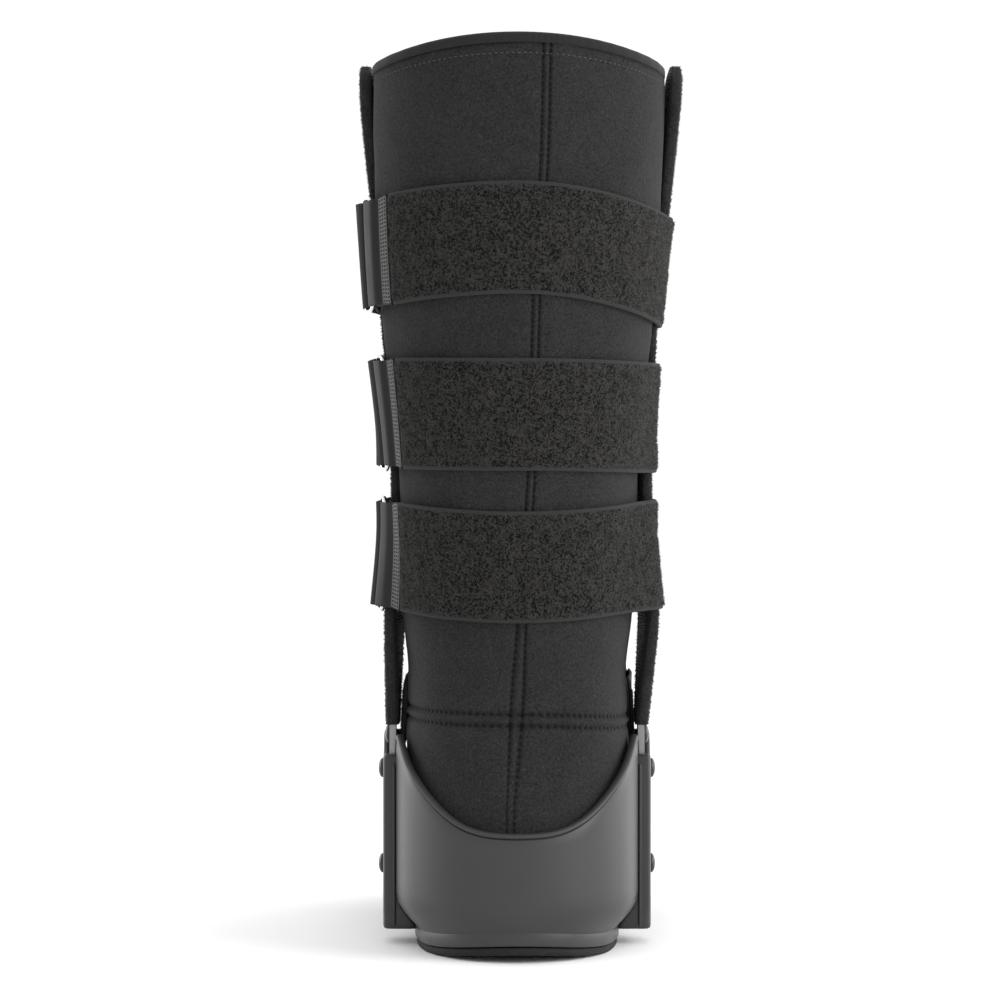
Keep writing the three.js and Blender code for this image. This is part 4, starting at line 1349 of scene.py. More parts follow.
def upright_place(side: Side, height: Array) -> tuple[Array, Array]:
    """Distance of an upright from the middle plane and its turn.

    Args:
        side: Side of the boot.
        height: Heights.

    Returns:
        Distances and turns in radians, both without the side's sign.
    """
    route = UPRIGHT_ROUTE
    start = 2 * SIZES.bar_seat / SIZES.calf_width
    heights = np.array((SIZES.sleeve_foot / SIZES.liner_height, *route["height"]))
    reach = np.array((start, *route[side.word]))
    turn = np.array((0, *route["turn"]))
    total_reach, total_turn = 0.0, 0.0
    for shift in (-6, -3, 0, 3, 6):
        share = (np.asarray(height, float) + shift) / SIZES.liner_height
        total_reach = total_reach + np.interp(share, heights, reach) / 5
        total_turn = total_turn + np.interp(share, heights, turn) / 5
    return total_reach * SIZES.calf_width / 2, total_turn * math.radians(SIZES.sleeve_turn)


class LinerForm:
    """Smooth outer surface of the padded liner, from its top rim to the open toe."""

    def __init__(self) -> None:
        """Turns the section tables into one table of lengths."""
        leg, foot = LEG_SECTIONS, FOOT_SECTIONS
        rows = []
        for i in range(len(leg["back"])):
            rows.append((
                -leg["back"][i] * SIZES.calf_depth,
                leg["back_height"][i] * SIZES.liner_height,
                leg["front"][i] * SIZES.calf_depth,
                leg["front_height"][i] * SIZES.liner_height,
                leg["width"][i] * SIZES.calf_width / 2,
                leg["dip"][i] * SIZES.liner_height,
                2.2,
                1.0 if i == 0 else 0.0,
            ))
        for i in range(len(foot["back"])):
            y = -SIZES.liner_heel + foot["back"][i] * SIZES.foot_length
            base = SIZES.floor_height + SIZES.soft_clearance + SIZES.rocker(y)
            rows.append((
                y,
                float(base + foot["rise"][i] * SIZES.instep_height),
                -SIZES.liner_heel + foot["front"][i] * SIZES.foot_length,
                foot["height"][i] * SIZES.instep_height,
                foot["width"][i] * SIZES.ankle_width / 2,
                0.0,
                2.45,
                0.0,
            ))
        self.rows = np.array(rows)

    def surface(self, place: Array, angle: Array) -> Array:
        """Points of the surface.

        Args:
            place: Row numbers, one a ring.
            angle: Angles from the back in radians, one a point of each ring, or rings by points.

        Returns:
            Points as rings by points by three.
        """
        rows = rows_at(self.rows, place)
        angle = np.broadcast_to(angle, (len(place), angle.shape[-1]))
        back, front = rows[:, None, 0:2], rows[:, None, 2:4]
        reach, dip, power, spare = (rows[:, k][:, None] for k in (4, 5, 6, 7))
        back_share, across = squared_turn(angle, 2 / power)
        middle = (back + front) / 2 - (front - back) / 2 * back_share[..., None]
        x = reach * across
        z = middle[..., 1] - dip * across**2
        points = np.stack([x, middle[..., 0], z], axis=-1)
        return self.pressed(points, spare)

    def pressed(self, points: Array, spare: Array) -> Array:
        """Padding that gives way where the sleeves press on it.

        Args:
            points: Points of the surface.
            spare: Extra distance kept from the sleeves.

        Returns:
            The pressed points.
        """
        x, y, z = points[..., 0], points[..., 1], points[..., 2]
        result = x.copy()
        for side in Side:
            reach, turn = upright_place(side, z)
            along = y - SIZES.bar_forward
            beyond = np.maximum(0, np.abs(along) - SIZES.sleeve_width / 2 - 8)
            face = reach - SIZES.sleeve_thickness / 2 - along * np.tan(turn)
            limit = face - SIZES.soft_clearance - spare + beyond
            limit = limit + 60 * (1 - ease(SIZES.sleeve_foot - 12, SIZES.sleeve_foot, z))
            held = soft_least(np.abs(x), limit, 0.8)
            held = np.where(np.abs(x) < limit - 6, np.abs(x), held)
            here = np.sign(x) == side.sign
            result = np.where(here, side.sign * held, result)
        return np.stack([result, y, z], axis=-1)


LINER = LinerForm()


def normals_of(grid: Array, closed: bool = True) -> Array:
    """Outward normals of a grid that runs down and round a form.

    Args:
        grid: Points as rings by points by three.
        closed: Whether the rings are closed.

    Returns:
        Unit normals.
    """
    down = np.gradient(grid, axis=0)
    if closed:
        round_ = np.roll(grid, -1, axis=1) - np.roll(grid, 1, axis=1)
    else:
        round_ = np.gradient(grid, axis=1)
    normal = np.cross(down, round_)
    size = np.linalg.norm(normal, axis=-1, keepdims=True)
    normal = normal / np.maximum(size, 1e-9)
    middle = grid.mean(axis=1, keepdims=True)
    outward = np.einsum("ijk,ijk->ij", normal, grid - middle).mean()
    return normal if outward > 0 else -normal


def seam_angle(height: Array) -> Array:
    """Angle of the liner's rear seam from the back, which drifts to the right going up.

    Args:
        height: Heights.

    Returns:
        Angles in radians.
    """
    heights = np.array([20, 70, 130, 215, 300, 360, 410])
    degrees = np.array([-2.5, -2.0, 0.5, 5.0, 6.0, 8.5, 9.5])
    return np.radians(np.interp(height, heights, degrees))


# Arc length over distance from the middle plane, for the flattened back of the calf
SEAM_STRETCH = 1.8


def from_seam(angle: Array, y: Array, z: Array) -> Array:
    """Distance from the back seam along the surface.

    Args:
        angle: Angles from the back.
        y: Distances along the foot.
        z: Heights.

    Returns:
        Distances in millimetres.
    """
    return (angle - seam_angle(z)) * np.abs(y) * SEAM_STRETCH


def cross_seam_height(x: Array) -> Array:
    """Height of the seam above the heel, which falls to the right.

    Args:
        x: Distances from the middle plane.

    Returns:
        Heights.
    """
    x = np.asarray(x, float)
    middle, right, left, reach = 106.5, -3.4, 1.0, 50
    return middle + np.where(x > 0, right, left) * (x / reach) ** 2


# Sub-assemblies


def place_piece(piece: bpy.types.Object, nodes: Sequence[str] = ()) -> bpy.types.Object:
    """Makes a piece ride on the boot and stand for its CAD nodes.

    Args:
        piece: Finished piece.
        nodes: CAD nodes that it stands for.

    Returns:
        The piece.
    """
    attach(piece, BODY)
    if nodes:
        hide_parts(*nodes)
    LOG.info("piece %s: %d faces", piece.name, len(piece.data.polygons))
    return piece


def strap_bands(x: Array, y: Array, z: Array) -> Array:
    """Where the calf straps hold the liner down.

    Args:
        x: Places across the boot.
        y: Places along it.
        z: Heights.

    Returns:
        Shares between 0, free, and 1, held.
    """
    held = np.zeros(np.shape(z))
    angle = np.arctan2(x, -y)
    for back, right, front, left, *_ in CALF_STRAPS.values():
        ends = np.where(np.cos(angle) > 0, back, front)
        sides = np.where(np.sin(angle) > 0, right, left)
        level = (sides + (ends - sides) * np.cos(angle) ** 2) * SIZES.liner_height
        held = np.maximum(held, 1 - ease(24, 30, np.abs(z - level)))
    return held


def sampled(table: Array, place: Array, angle: Array) -> Array:
    """Values of a table over the liner's rows and angles.

    Args:
        table: Values by even rows and even angles from minus half a turn.
        place: Row numbers of the liner's form.
        angle: Angles from the back.

    Returns:
        Values at the places.
    """
    rings, columns = table.shape
    row = np.clip(place / (len(LINER.rows) - 1) * (rings - 1), 0, rings - 1.001)
    column = ((angle + np.pi) / (2 * np.pi) * columns) % columns
    return looked_up(table, row, column)


@dataclass
class CushionSwell:
    """Swelling of the sewn foam between its seams and straps, from a cloth simulation.

    Attributes:
        rings: Rows of the simulated skin.
        columns: Points of each row.
        frames: Frames that it runs for.
        pressure: Pressure inside.
        most: Largest swelling that is kept.
    """

    rings: int = 90
    columns: int = 96
    frames: int = 20
    pressure: float = 4.0
    most: float = 2.4

    def held(self, grid: Array, angle: Array) -> Array:
        """Where seams, straps, sleeves, flap and shell hold the skin.

        Args:
            grid: Points of the skin.
            angle: Their angles from the back.

        Returns:
            Shares between 0, free, and 1, held.
        """
        x, y, z = (grid[..., k] for k in range(3))
        seam = 1 - ease(1.5, 4.0, np.abs(from_seam(angle, y, z)))
        cross = 1 - ease(1.5, 5, np.abs(z - cross_seam_height(x)))
        shell = 1 - ease(62, 72, z - 0.012 * x**2)
        beside = ease(-26, -16, y)
        ends = ease(398, 404, z)
        return np.max([seam, cross, shell, beside, ends, strap_bands(x, y, z)], axis=0)

    def run(self) -> Array:
        """Simulates the skin under pressure.

        Returns:
            Swelling by even rows and even angles, in millimetres.
        """
        angle = whole_turn(self.columns)
        place = np.linspace(0, len(LINER.rows) - 1, self.rings)
        grid = LINER.surface(place, angle)
        held = self.held(grid, angle[None, :])
        skin = loft(grid, caps=False).make("swelling_skin", [FOAM])
        group = skin.vertex_groups.new(name="held")
        for index, weight in enumerate(held.ravel().tolist()):
            group.add([index], weight, "REPLACE")
        cloth = skin.modifiers.new("swelling", "CLOTH")
        settings = {"quality": 5, "mass": 0.3, "vertex_group_mass": "held", "use_pressure": True}
        for key, value in (settings | {"uniform_pressure_force": self.pressure}).items():
            setattr(cloth.settings, key, value)
        cloth.settings.effector_weights.gravity = 0
        cloth.collision_settings.use_collision = False
        cloth.point_cache.frame_start, cloth.point_cache.frame_end = 1, self.frames
        scene = bpy.context.scene
        for frame in range(1, self.frames + 1):
            scene.frame_set(frame)
        graph = bpy.context.evaluated_depsgraph_get()
        swollen = skin.evaluated_get(graph).to_mesh()
        moved = np.zeros(len(swollen.vertices) * 3, np.float32)
        swollen.vertices.foreach_get("co", moved)
        skin.evaluated_get(graph).to_mesh_clear()
        drop(skin)
        scene.frame_set(1)
        shift = moved.reshape(grid.shape) / MM - grid
        rise = np.einsum("ijk,ijk->ij", shift, normals_of(grid)) * (1 - held)
        LOG.info("skin swells by %.2f mm at most before its limit", rise.max())
        rise = self.most * np.tanh(np.maximum(rise, 0) / self.most)
        return smoothed(smoothed(rise, 0.8).T, 0.8, closed=True).T


@dataclass
class PaddedLiner:
    """Foam bootie with sewn seams, its top binding and its front flap.

    Attributes:
        columns: Points of each ring.
        rows: Rings of the mesh.
        seam_spacing: Distance between the two punched rows of a seam.
        binding_height: Height of the binding over the edge.
        flap_spread: Degrees from the front to each edge of the flap.
        flap_thickness: Thickness of the flap.
        flap_rows: Sections of the flap.
        flap_columns: Points of each section.
        calf_radius: Mean radius of the calf.
        top_points: Points of the topstitch's line.
        top_row: Row number of the topstitch.
        swell: Swelling of the foam, once it is simulated.
    """

    columns: int = 150
    rows: int = 150
    seam_spacing: float = 5.0
    binding_height: float = 4.6
    flap_spread: float = 52
    flap_thickness: float = 2.5
    flap_rows: int = 70
    flap_columns: int = 44
    calf_radius: float = 65
    top_points: int = 500
    top_row: float = 0.2
    swell: Array = field(default_factory=lambda: np.zeros((2, 2)))

    def places(self) -> Array:
        """Row numbers of the rings, closer together at the cross seam."""
        fine = np.linspace(0, len(LINER.rows) - 1, 4 * self.rows)
        back = LINER.surface(fine, np.array([0.0]))[:, 0]
        weight = 1 + 2.2 * bell(106, 12, back[:, 2]) * (back[:, 1] < -20)
        length = np.concatenate([[0], np.cumsum(np.linalg.norm(np.diff(back, axis=0), axis=1) + 0.9)])
        length = np.concatenate([[0], np.cumsum(np.diff(length) * (weight[1:] + weight[:-1]) / 2)])
        even = np.linspace(0, length[-1], self.rows)
        return np.interp(even, length, fine)

    def angles(self, place: Array) -> Array:
        """Angles of the columns, closer together at the rear seam and following it.

        Args:
            place: Row numbers.

        Returns:
            Angles as rings by columns.
        """
        even = whole_turn(self.columns)
        base = even - 0.78 * np.sin(even)
        back = LINER.surface(place, np.array([0.0]))[:, 0]
        drift = seam_angle(back[:, 2])[:, None]
        return base[None, :] + drift * np.cos(base[None, :] / 2) ** 2

    def padding(self, grid: Array, angle: Array) -> Array:
        """How far the sewn padding swells or sinks from its plain form.

        Args:
            grid: Points of the plain form.
            angle: Their angles.

        Returns:
            Distances along the normals.
        """
        x, y, z = grid[..., 0], grid[..., 1], grid[..., 2]
        rear = y < 0
        across = from_seam(angle, y, z)
        half = self.seam_spacing / 2
        rows = twin_bells(half, 0.9, across)
        swell = bell(0, 9, np.abs(across) - half - 8) * 0.5
        ridge = bell(0, 1.4, across) * 0.5
        rear_seam = np.where(rear, -0.9 * rows + ridge + swell, 0)
        level = z - cross_seam_height(x)
        cross_rows = twin_bells(half, 1.0, level)
        cross = -1.0 * cross_rows + 0.9 * bell(0, 1.6, level) + 0.8 * bell(0, 10, np.abs(level) - 9)
        cross = np.where(y < 10, cross * ease(14, -4, y), 0)
        wide = grain(grid, 26, 5) * 0.7 + grain(grid, 9, 6) * 0.25
        free = ease(60, 100, z)
        return (rear_seam + cross + wide * 0.6) * free

    def build(self) -> list[bpy.types.Object]:
        """Makes the liner, its binding, its flap and their stitches.

        Returns:
            The pieces.
        """
        self.swell = CushionSwell().run()
        place = self.places()
        angle = self.angles(place)
        plain = LINER.surface(place, angle)
        normal = normals_of(plain)
        rise = self.padding(plain, angle) + sampled(self.swell, place[:, None], angle)
        outer = plain + normal * rise[..., None]
        inner = plain - normal * SIZES.liner_wall
        rings = np.concatenate([outer, inner[::-1]])
        along = run_length(plain[:, 0])
        uv = np.stack(np.broadcast_arrays(angle * 60, along[:, None]), axis=-1)
        plan = loft(rings, np.concatenate([uv, uv[::-1]]), loop=True)
        plan.marks = self.seam_marks(plain, angle)
        liner = place_piece(plan.make("padded_liner", [FOAM]), ["liner"])
        return [liner, self.binding(plain, normal), self.flap(), *self.stitches()]

    @staticmethod
    def seam_marks(plain: Array, angle: Array) -> dict:
        """Places beside and along both seams, for the finish.

        Args:
            plain: Plain form of the liner.
            angle: Angles from the back.

        Returns:
            Values of the points by name, outer face first.
        """
        x, y, z = (plain[..., k] for k in range(3))
        away = np.full(plain.shape[:2], 99.0)
        rear = np.where(y < -8, from_seam(angle, y, z), 99.0)
        cross = np.where(y < 6, z - cross_seam_height(x), 99.0)
        marks = {"rear_aside": rear, "rear_along": z, "cross_aside": cross, "cross_along": angle * 46}
        return {
            key: np.concatenate([value, away if key.endswith("aside") else value[::-1]]).ravel()
            for key, value in marks.items()
        }

    def binding(self, plain: Array, normal: Array) -> bpy.types.Object:
        """Tape folded over the liner's top edge.

        Args:
            plain: Plain form of the liner.
            normal: Its normals.

        Returns:
            The piece.
        """
        edge, out = plain[0], unit(normal[0] * np.array([1, 1, 0]))
        wall, high, over = SIZES.liner_wall, self.binding_height, 0.75
        section = [(over, -0.2), (over + 0.3, 0.6), (over + 0.3, high * 0.45), (over, high * 0.7)]
        section += [(0, high * 0.9), (-wall * 0.3, high), (-wall * 0.7, high), (-wall, high * 0.85)]
        section += [(-wall - over, high * 0.6), (-wall - over, 0.6), (-wall - over + 0.3, -0.2)]
        ripple = 0.12 * np.sin(np.arange(len(edge)) * 1.7)[:, None]
        rings = [edge + out * (off + ripple) + np.array([0, 0, up]) for off, up in section]
        grid = np.stack(rings, axis=1)
        length = run_length(edge)
        uv = np.stack(np.broadcast_arrays(length[:, None], np.arange(len(section))[None, :] * 1.3), axis=-1)
        piece = loft(grid, uv, loop=True).make("top_tape", [TAPE])
        return place_piece(piece, ["top_binding"])

    def flap(self) -> bpy.types.Object:
        """Overlapping front, crowned between its edges.

        Returns:
            The piece.
        """
        count = self.flap_rows
        place = np.linspace(0, len(LEG_SECTIONS["back"]), count)
        turns = np.linspace(-self.flap_spread, self.flap_spread, self.flap_columns)
        spread = np.radians(180 + turns)
        form = LINER.surface(place, spread[None, :])
        normal = normals_of(form, closed=False)
        normal = normal * np.where(normal[..., 1:2].mean() > 0, 1, -1)
        edge = np.minimum(spread - spread[0], spread[-1] - spread)[None, :] * self.calf_radius
        ends = np.minimum(np.arange(count), np.arange(count)[::-1])[:, None] * 3.5
        crown = 1 - np.exp(-np.minimum(edge, ends) / 2.2)
        thick = 0.5 + (self.flap_thickness - 0.1) * crown
        thick = thick + 0.35 * grain(form, 18, 8) * crown
        near = form + normal * (SIZES.clearance + 0.5)
        far = form + normal * (SIZES.clearance + 0.5 + thick)[..., None]
        rings = np.concatenate([near, far[:, ::-1]], axis=1)
        width = spread[None, :] * self.calf_radius
        flat = np.stack(np.broadcast_arrays(width, place[:, None] * 20), axis=-1)
        uv = np.concatenate([flat, flat[:, ::-1]], axis=1)
        piece = place_piece(loft(rings, uv).make("padded_flap", [FOAM]), ["front_flap"])
        return piece

    def seam_lines(self) -> tuple[list[Array], list[Array]]:
        """Lines of punched stitches on the liner's back and their normals.

        Returns:
            Lines and normals.
        """
        place = np.linspace(0.15, 11.6, 900)
        back = LINER.surface(place, np.array([0.0]))[:, 0]
        reach = np.maximum(np.abs(back[:, 1]), 30) * SEAM_STRETCH
        across = np.linspace(-1.45, 1.45, 500)
        shifts = (-self.seam_spacing / 2, self.seam_spacing / 2)
        rows = [self.skin(place, seam_angle(back[:, 2]) + shift / reach) for shift in shifts]
        rows += [self.skin(self.at_height(across, shift), across) for shift in shifts]
        return [line for line, _ in rows], [facing for _, facing in rows]

    def skin(self, place: Array, angle: Array) -> tuple[Array, Array]:
        """Points of the padded skin and their normals.

        Args:
            place: Row numbers, one a point.
            angle: Angles from the back, one a point.

        Returns:
            Points and outward normals.
        """
        near = self.on_surface(place, angle)
        down = self.on_surface(place + 0.02, angle) - self.on_surface(place - 0.02, angle)
        side = self.on_surface(place, angle + 0.01) - self.on_surface(place, angle - 0.01)
        normal = unit(np.cross(down, side))
        normal *= np.sign(np.einsum("ij,ij->i", normal, near * np.array([1, 1, 0]) + 1e-6))[:, None]
        rise = self.padding(near[None], angle[None])[0] + sampled(self.swell, place, angle)
        return near + normal * rise[:, None], normal

    @staticmethod
    def on_surface(place: Array, angle: Array) -> Array:
        """Points of the form, one for each place and angle."""
        rings = [LINER.surface(place[i : i + 1], angle[i : i + 1]) for i in range(len(place))]
        return np.concatenate(rings)[:, 0]

    @staticmethod
    def at_height(angle: Array, shift: float) -> Array:
        """Row numbers of a line along the cross seam.

        Args:
            angle: Angles from the back.
            shift: Height above the seam's middle.

        Returns:
            Row numbers, one an angle.
        """
        place = np.linspace(5.5, 10, 400)
        grid = LINER.surface(place, angle)
        target = cross_seam_height(grid[..., 0]) + shift
        gap = grid[..., 2] - target
        index = np.argmax(gap < 0, axis=0)
        index = np.clip(index, 1, len(place) - 1)
        column = np.arange(len(angle))
        above, below = gap[index - 1, column], gap[index, column]
        share = above / np.where(above - below == 0, 1, above - below)
        return place[index - 1] * (1 - share) + place[index] * share

    def stitches(self) -> list[bpy.types.Object]:
        """Near-black beads painted as the shade of the back seams' needle holes, and the topstitch under
        the binding.

        Returns:
            The pieces.
        """
        lines, facings = self.seam_lines()
        lines = [line - facing * 0.2 for line, facing in zip(lines, facings)]
        # Painted shade: near-black beads sunk into the seams stand for the needle holes.
        punched = sew("seam_hole_shade_beads", NEEDLE_HOLE_SHADE, lines, facings, PUNCHED_ROW)
        angle = whole_turn(self.top_points)
        ring, out = self.skin(np.full(self.top_points, self.top_row), angle)
        top = sew("binding_stitches", PALE_THREAD, [ring + out * 0.1], [out], TOPSTITCH)
        return [place_piece(punched), place_piece(top)]


def sew(
    name: str, finish: Finish, lines: Sequence[Array], facings: Sequence[Array], sizes: Sequence[float]
) -> bpy.types.Object:
    """Sews rows of stitches along lines.

    Args:
        name: Name of the piece.
        finish: Finish of the thread.
        lines: Lines in millimetres.
        facings: Outward directions at their points.
        sizes: Pitch, length, width and rise of a stitch in millimetres.

    Returns:
        The piece.
    """
    edges, start = [], 0
    for line in lines:
        edges += [(start + i, start + i + 1) for i in range(len(line) - 1)]
        start += len(line)
    guide = point_guide(name + "_guide", np.concatenate(lines), {"facing": np.concatenate(facings)}, edges)
    values = dict(zip(("Pitch", "Length", "Width", "Rise"), (s * MM for s in sizes)))
    piece = stitch_tree(name, finish).run(name, guide, values)
    drop(guide)
    return piece


@dataclass
class SleevedUpright:
    """Aluminium bar in a plush sleeve with a ribbed inner strip.

    Attributes:
        side: Side of the boot.
        rings: Sections of the sleeve.
        strip_half: Half the width of the inner strip.
        pocket: Heights, widths and thicknesses of the two sections inside the sleeve's foot.
    """

    side: Side
    rings: int = 110
    strip_half: float = 10.5
    pocket: tuple = ((122.0, 101.5), (20.0, 21.0), (3.9, 4.2))

    def section(self, height: Array, width: Array, thickness: Array, count: int = 28) -> Array:
        """Rounded rectangles round the bar's middle line.

        Args:
            height: Heights of the sections.
            width: Widths along the foot.
            thickness: Thicknesses across it.
            count: Points a section.

        Returns:
            Points as sections by points by three.
        """
        reach, turn = upright_place(self.side, height)
        across, along = squared_turn(whole_turn(count) + np.pi, 2 / 5)
        x = across[None, :] * np.asarray(thickness)[:, None] / 2
        y = along[None, :] * np.asarray(width)[:, None] / 2
        turn = (self.side.sign * turn)[:, None]
        px = x * np.cos(turn) - y * np.sin(turn) + self.side.sign * reach[:, None]
        py = x * np.sin(turn) + y * np.cos(turn) + SIZES.bar_forward
        pz = np.broadcast_to(height[:, None], px.shape)
        return np.stack([px, py, pz], axis=-1)

    def outer(self) -> Array:
        """Outer sections of the sleeve, from its foot to its rounded tip."""
        top = SIZES.sleeve_top
        start = top - SIZES.sleeve_tip
        body = np.linspace(SIZES.sleeve_foot, start, self.rings - 16)
        tip = start + SIZES.sleeve_tip * np.sin(np.linspace(0, np.pi / 2, 17)[1:])
        height = np.concatenate([body, tip])
        share = np.clip((height - start) / SIZES.sleeve_tip, 0, 1)
        width = SIZES.sleeve_width * np.sqrt(np.maximum(1 - 0.93 * share**2, 0.03))
        thick = SIZES.sleeve_thickness * (1 - 0.35 * share**6)
        middle = np.array([[row[1 if self.side is Side.RIGHT else 3]] for row in CALF_STRAPS.values()])
        pressed = bell(0, 24, (height[None, :] - middle * SIZES.liner_height)).max(axis=0)
        thick = thick * (1 - 0.24 * pressed)
        return self.section(height, width, thick)

    def build(self) -> list[bpy.types.Object]:
        """Makes the sleeve, its nap and its stitches.

        Returns:
            The pieces.
        """
        outer = self.outer()
        pocket = self.section(*np.array(self.pocket))
        rings = np.concatenate([pocket, outer])
        centre = rings.mean(axis=1, keepdims=True)
        uneven = grain(rings, 7, 11 + self.side.sign)[..., None] * 0.35
        rings = rings + unit(rings - centre) * uneven
        flat = np.stack(np.broadcast_arrays(rings[..., 1], rings[..., 2]), axis=-1)
        plan = loft(rings, flat)
        inward = (centre[..., 0] - rings[..., 0]) * self.side.sign
        beside = np.abs(rings[..., 1] - SIZES.bar_forward)
        hooked = ((inward > 1.4) & (beside < self.strip_half)).astype(float)
        plan.marks["pile"] = (1 - hooked).ravel()
        plan.marks["pile"][: 3 * rings.shape[1]] = 0
        pick = [int(all(hooked.ravel()[i] > 0.5 for i in f[:4])) for f in plan.faces]
        sleeve = plan.make(f"plush_sleeve_{self.side.word}", [PLUSH, HOOKS], pick)
        place_piece(sleeve, [f"sleeve_{self.side.word}"])
        nap_name = f"sleeve_nap_{self.side.word}"
        values = {"Density": 420000.0, "Height": 1.0 * MM, "Radius": 0.22 * MM, "Lean": 1.0, "Seed": 5}
        nap = tuft_tree(nap_name, PLUSH).run(nap_name, sleeve, values)
        return [sleeve, place_piece(nap), self.stitches()]

    def stitches(self) -> bpy.types.Object:
        """Rows of stitches beside the inner strip."""
        height = np.linspace(SIZES.sleeve_foot + 2, SIZES.sleeve_top - SIZES.sleeve_tip, 120)
        reach, turn = upright_place(self.side, height)
        lines, facings = [], []
        for along in (-self.strip_half - 1, self.strip_half + 1):
            x = reach - SIZES.sleeve_thickness / 2 + 0.25 - along * np.tan(turn)
            y = np.full_like(x, SIZES.bar_forward + along)
            lines.append(np.stack([x * self.side.sign, y, height], axis=-1))
            facings.append(np.tile([-self.side.sign, 0.0, 0.0], (len(height), 1)))
        name = f"sleeve_stitches_{self.side.word}"
        piece = sew(name, PALE_THREAD, lines, facings, SLEEVE_STITCH)
        return place_piece(piece)


class Outline:
    """Plan outlines of the sole and the shell's wall, with their normals."""

    def __init__(self, stations: int) -> None:
        """Samples both outlines.

        Args:
            stations: Points round each outline.
        """
        self.points: dict[str, Array] = {}
        self.normals: dict[str, Array] = {}
        for column in ("sole", "shell"):
            share = np.arange(stations) / stations
            step = 1e-4
            here = self.curve(column, share)
            tangent = unit(self.curve(column, share + step) - self.curve(column, share - step))
            self.points[column] = here
            self.normals[column] = np.stack([-tangent[:, 1], tangent[:, 0]], axis=1)

    @staticmethod
    def curve(column: str, share: Array) -> Array:
        """Smooth closed curve through a column of the plan table.

        Args:
            column: Name of the column.
            share: Shares of the way round.

        Returns:
            Points in plan.
        """
        plan = PLAN_OUTLINE
        inset = np.array(plan["inset"]) if column == "sole" else 0
        y = -SIZES.heel_back + (np.array(plan["along"]) + inset) * SIZES.sole_length
        x = np.array(plan[column]) * SIZES.half_width
        half = np.stack([x, y], axis=1)
        mirrored = half[1:-1][::-1] * np.array([-1, 1])
        knots = np.concatenate([half, mirrored])
        count = len(knots)
        place = (np.asarray(share) % 1) * count
        index = np.floor(place).astype(int) % count
        weight = (place - np.floor(place))[:, None]
        p = [knots[(index + k) % count] for k in (-1, 0, 1, 2)]
        d = [np.sqrt(np.linalg.norm(p[k + 1] - p[k], axis=1, keepdims=True)) for k in range(3)]
        first = (p[1] - p[0]) / d[0] - (p[2] - p[0]) / (d[0] + d[1]) + (p[2] - p[1]) / d[1]
        second = (p[2] - p[1]) / d[1] - (p[3] - p[1]) / (d[1] + d[2]) + (p[3] - p[2]) / d[2]
        first, second = first * d[1], second * d[1]
        return (
            p[1]
            + first * weight
            + (-3 * p[1] + 3 * p[2] - 2 * first - second) * weight**2
            + (2 * p[1] - 2 * p[2] + first + second) * weight**3
        )

    def wall(self, height: Array, inset: float) -> Array:
        """Points of the shell's wall.

        Args:
            height: Height at each station.
            inset: Distance inwards from the outer face.

        Returns:
            Points as stations by three.
        """
        sole = self.points["sole"] + self.normals["sole"] * inset
        shell = self.points["shell"] + self.normals["shell"] * inset
        start = SIZES.step_height + SIZES.rocker(sole[:, 1])
        share = np.clip((height - start) / SIZES.flare_height, 0, 1)
        share = np.sin(share * np.pi / 2)[:, None]
        plan = sole * (1 - share) + shell * share
        return np.concatenate([plan, height[:, None]], axis=1)

    def plate(self, low: float, high: float, inset: float, round_: float) -> MeshPlan:
        """Plate between two heights over the rocker's curve, with eased edges.

        Args:
            low: Lower height.
            high: Upper height.
            inset: Distance inwards from the sole's outline.
            round_: Size of the eased edge.

        Returns:
            The plate.
        """
        rings = []
        profile = [(low, 4.0), (low, round_), (low + 0.3 * round_, 0.3 * round_), (low + round_, 0)]
        profile += [(high - round_, 0), (high - 0.3 * round_, 0.3 * round_), (high, round_), (high, 4.0)]
        for height, more in profile:
            plan = self.points["sole"] + self.normals["sole"] * (inset + more)
            z = height + SIZES.rocker(plan[:, 1])
            rings.append(np.concatenate([plan, z[:, None]], axis=1))
        return slab(np.array(rings))


def rim_line(y: Array) -> Array:
    """Height of the shell's rim along the foot, eased between its rows.

    Args:
        y: Places along the foot.

    Returns:
        Heights.
    """
    along = (np.asarray(y, float) + SIZES.heel_back) / SIZES.sole_length
    total = 0.0
    for shift in (-0.008, -0.004, 0, 0.004, 0.008):
        total = total + np.interp(along + shift, RIM_LINE["along"], RIM_LINE["height"]) / 5
    return total * SIZES.tip_height


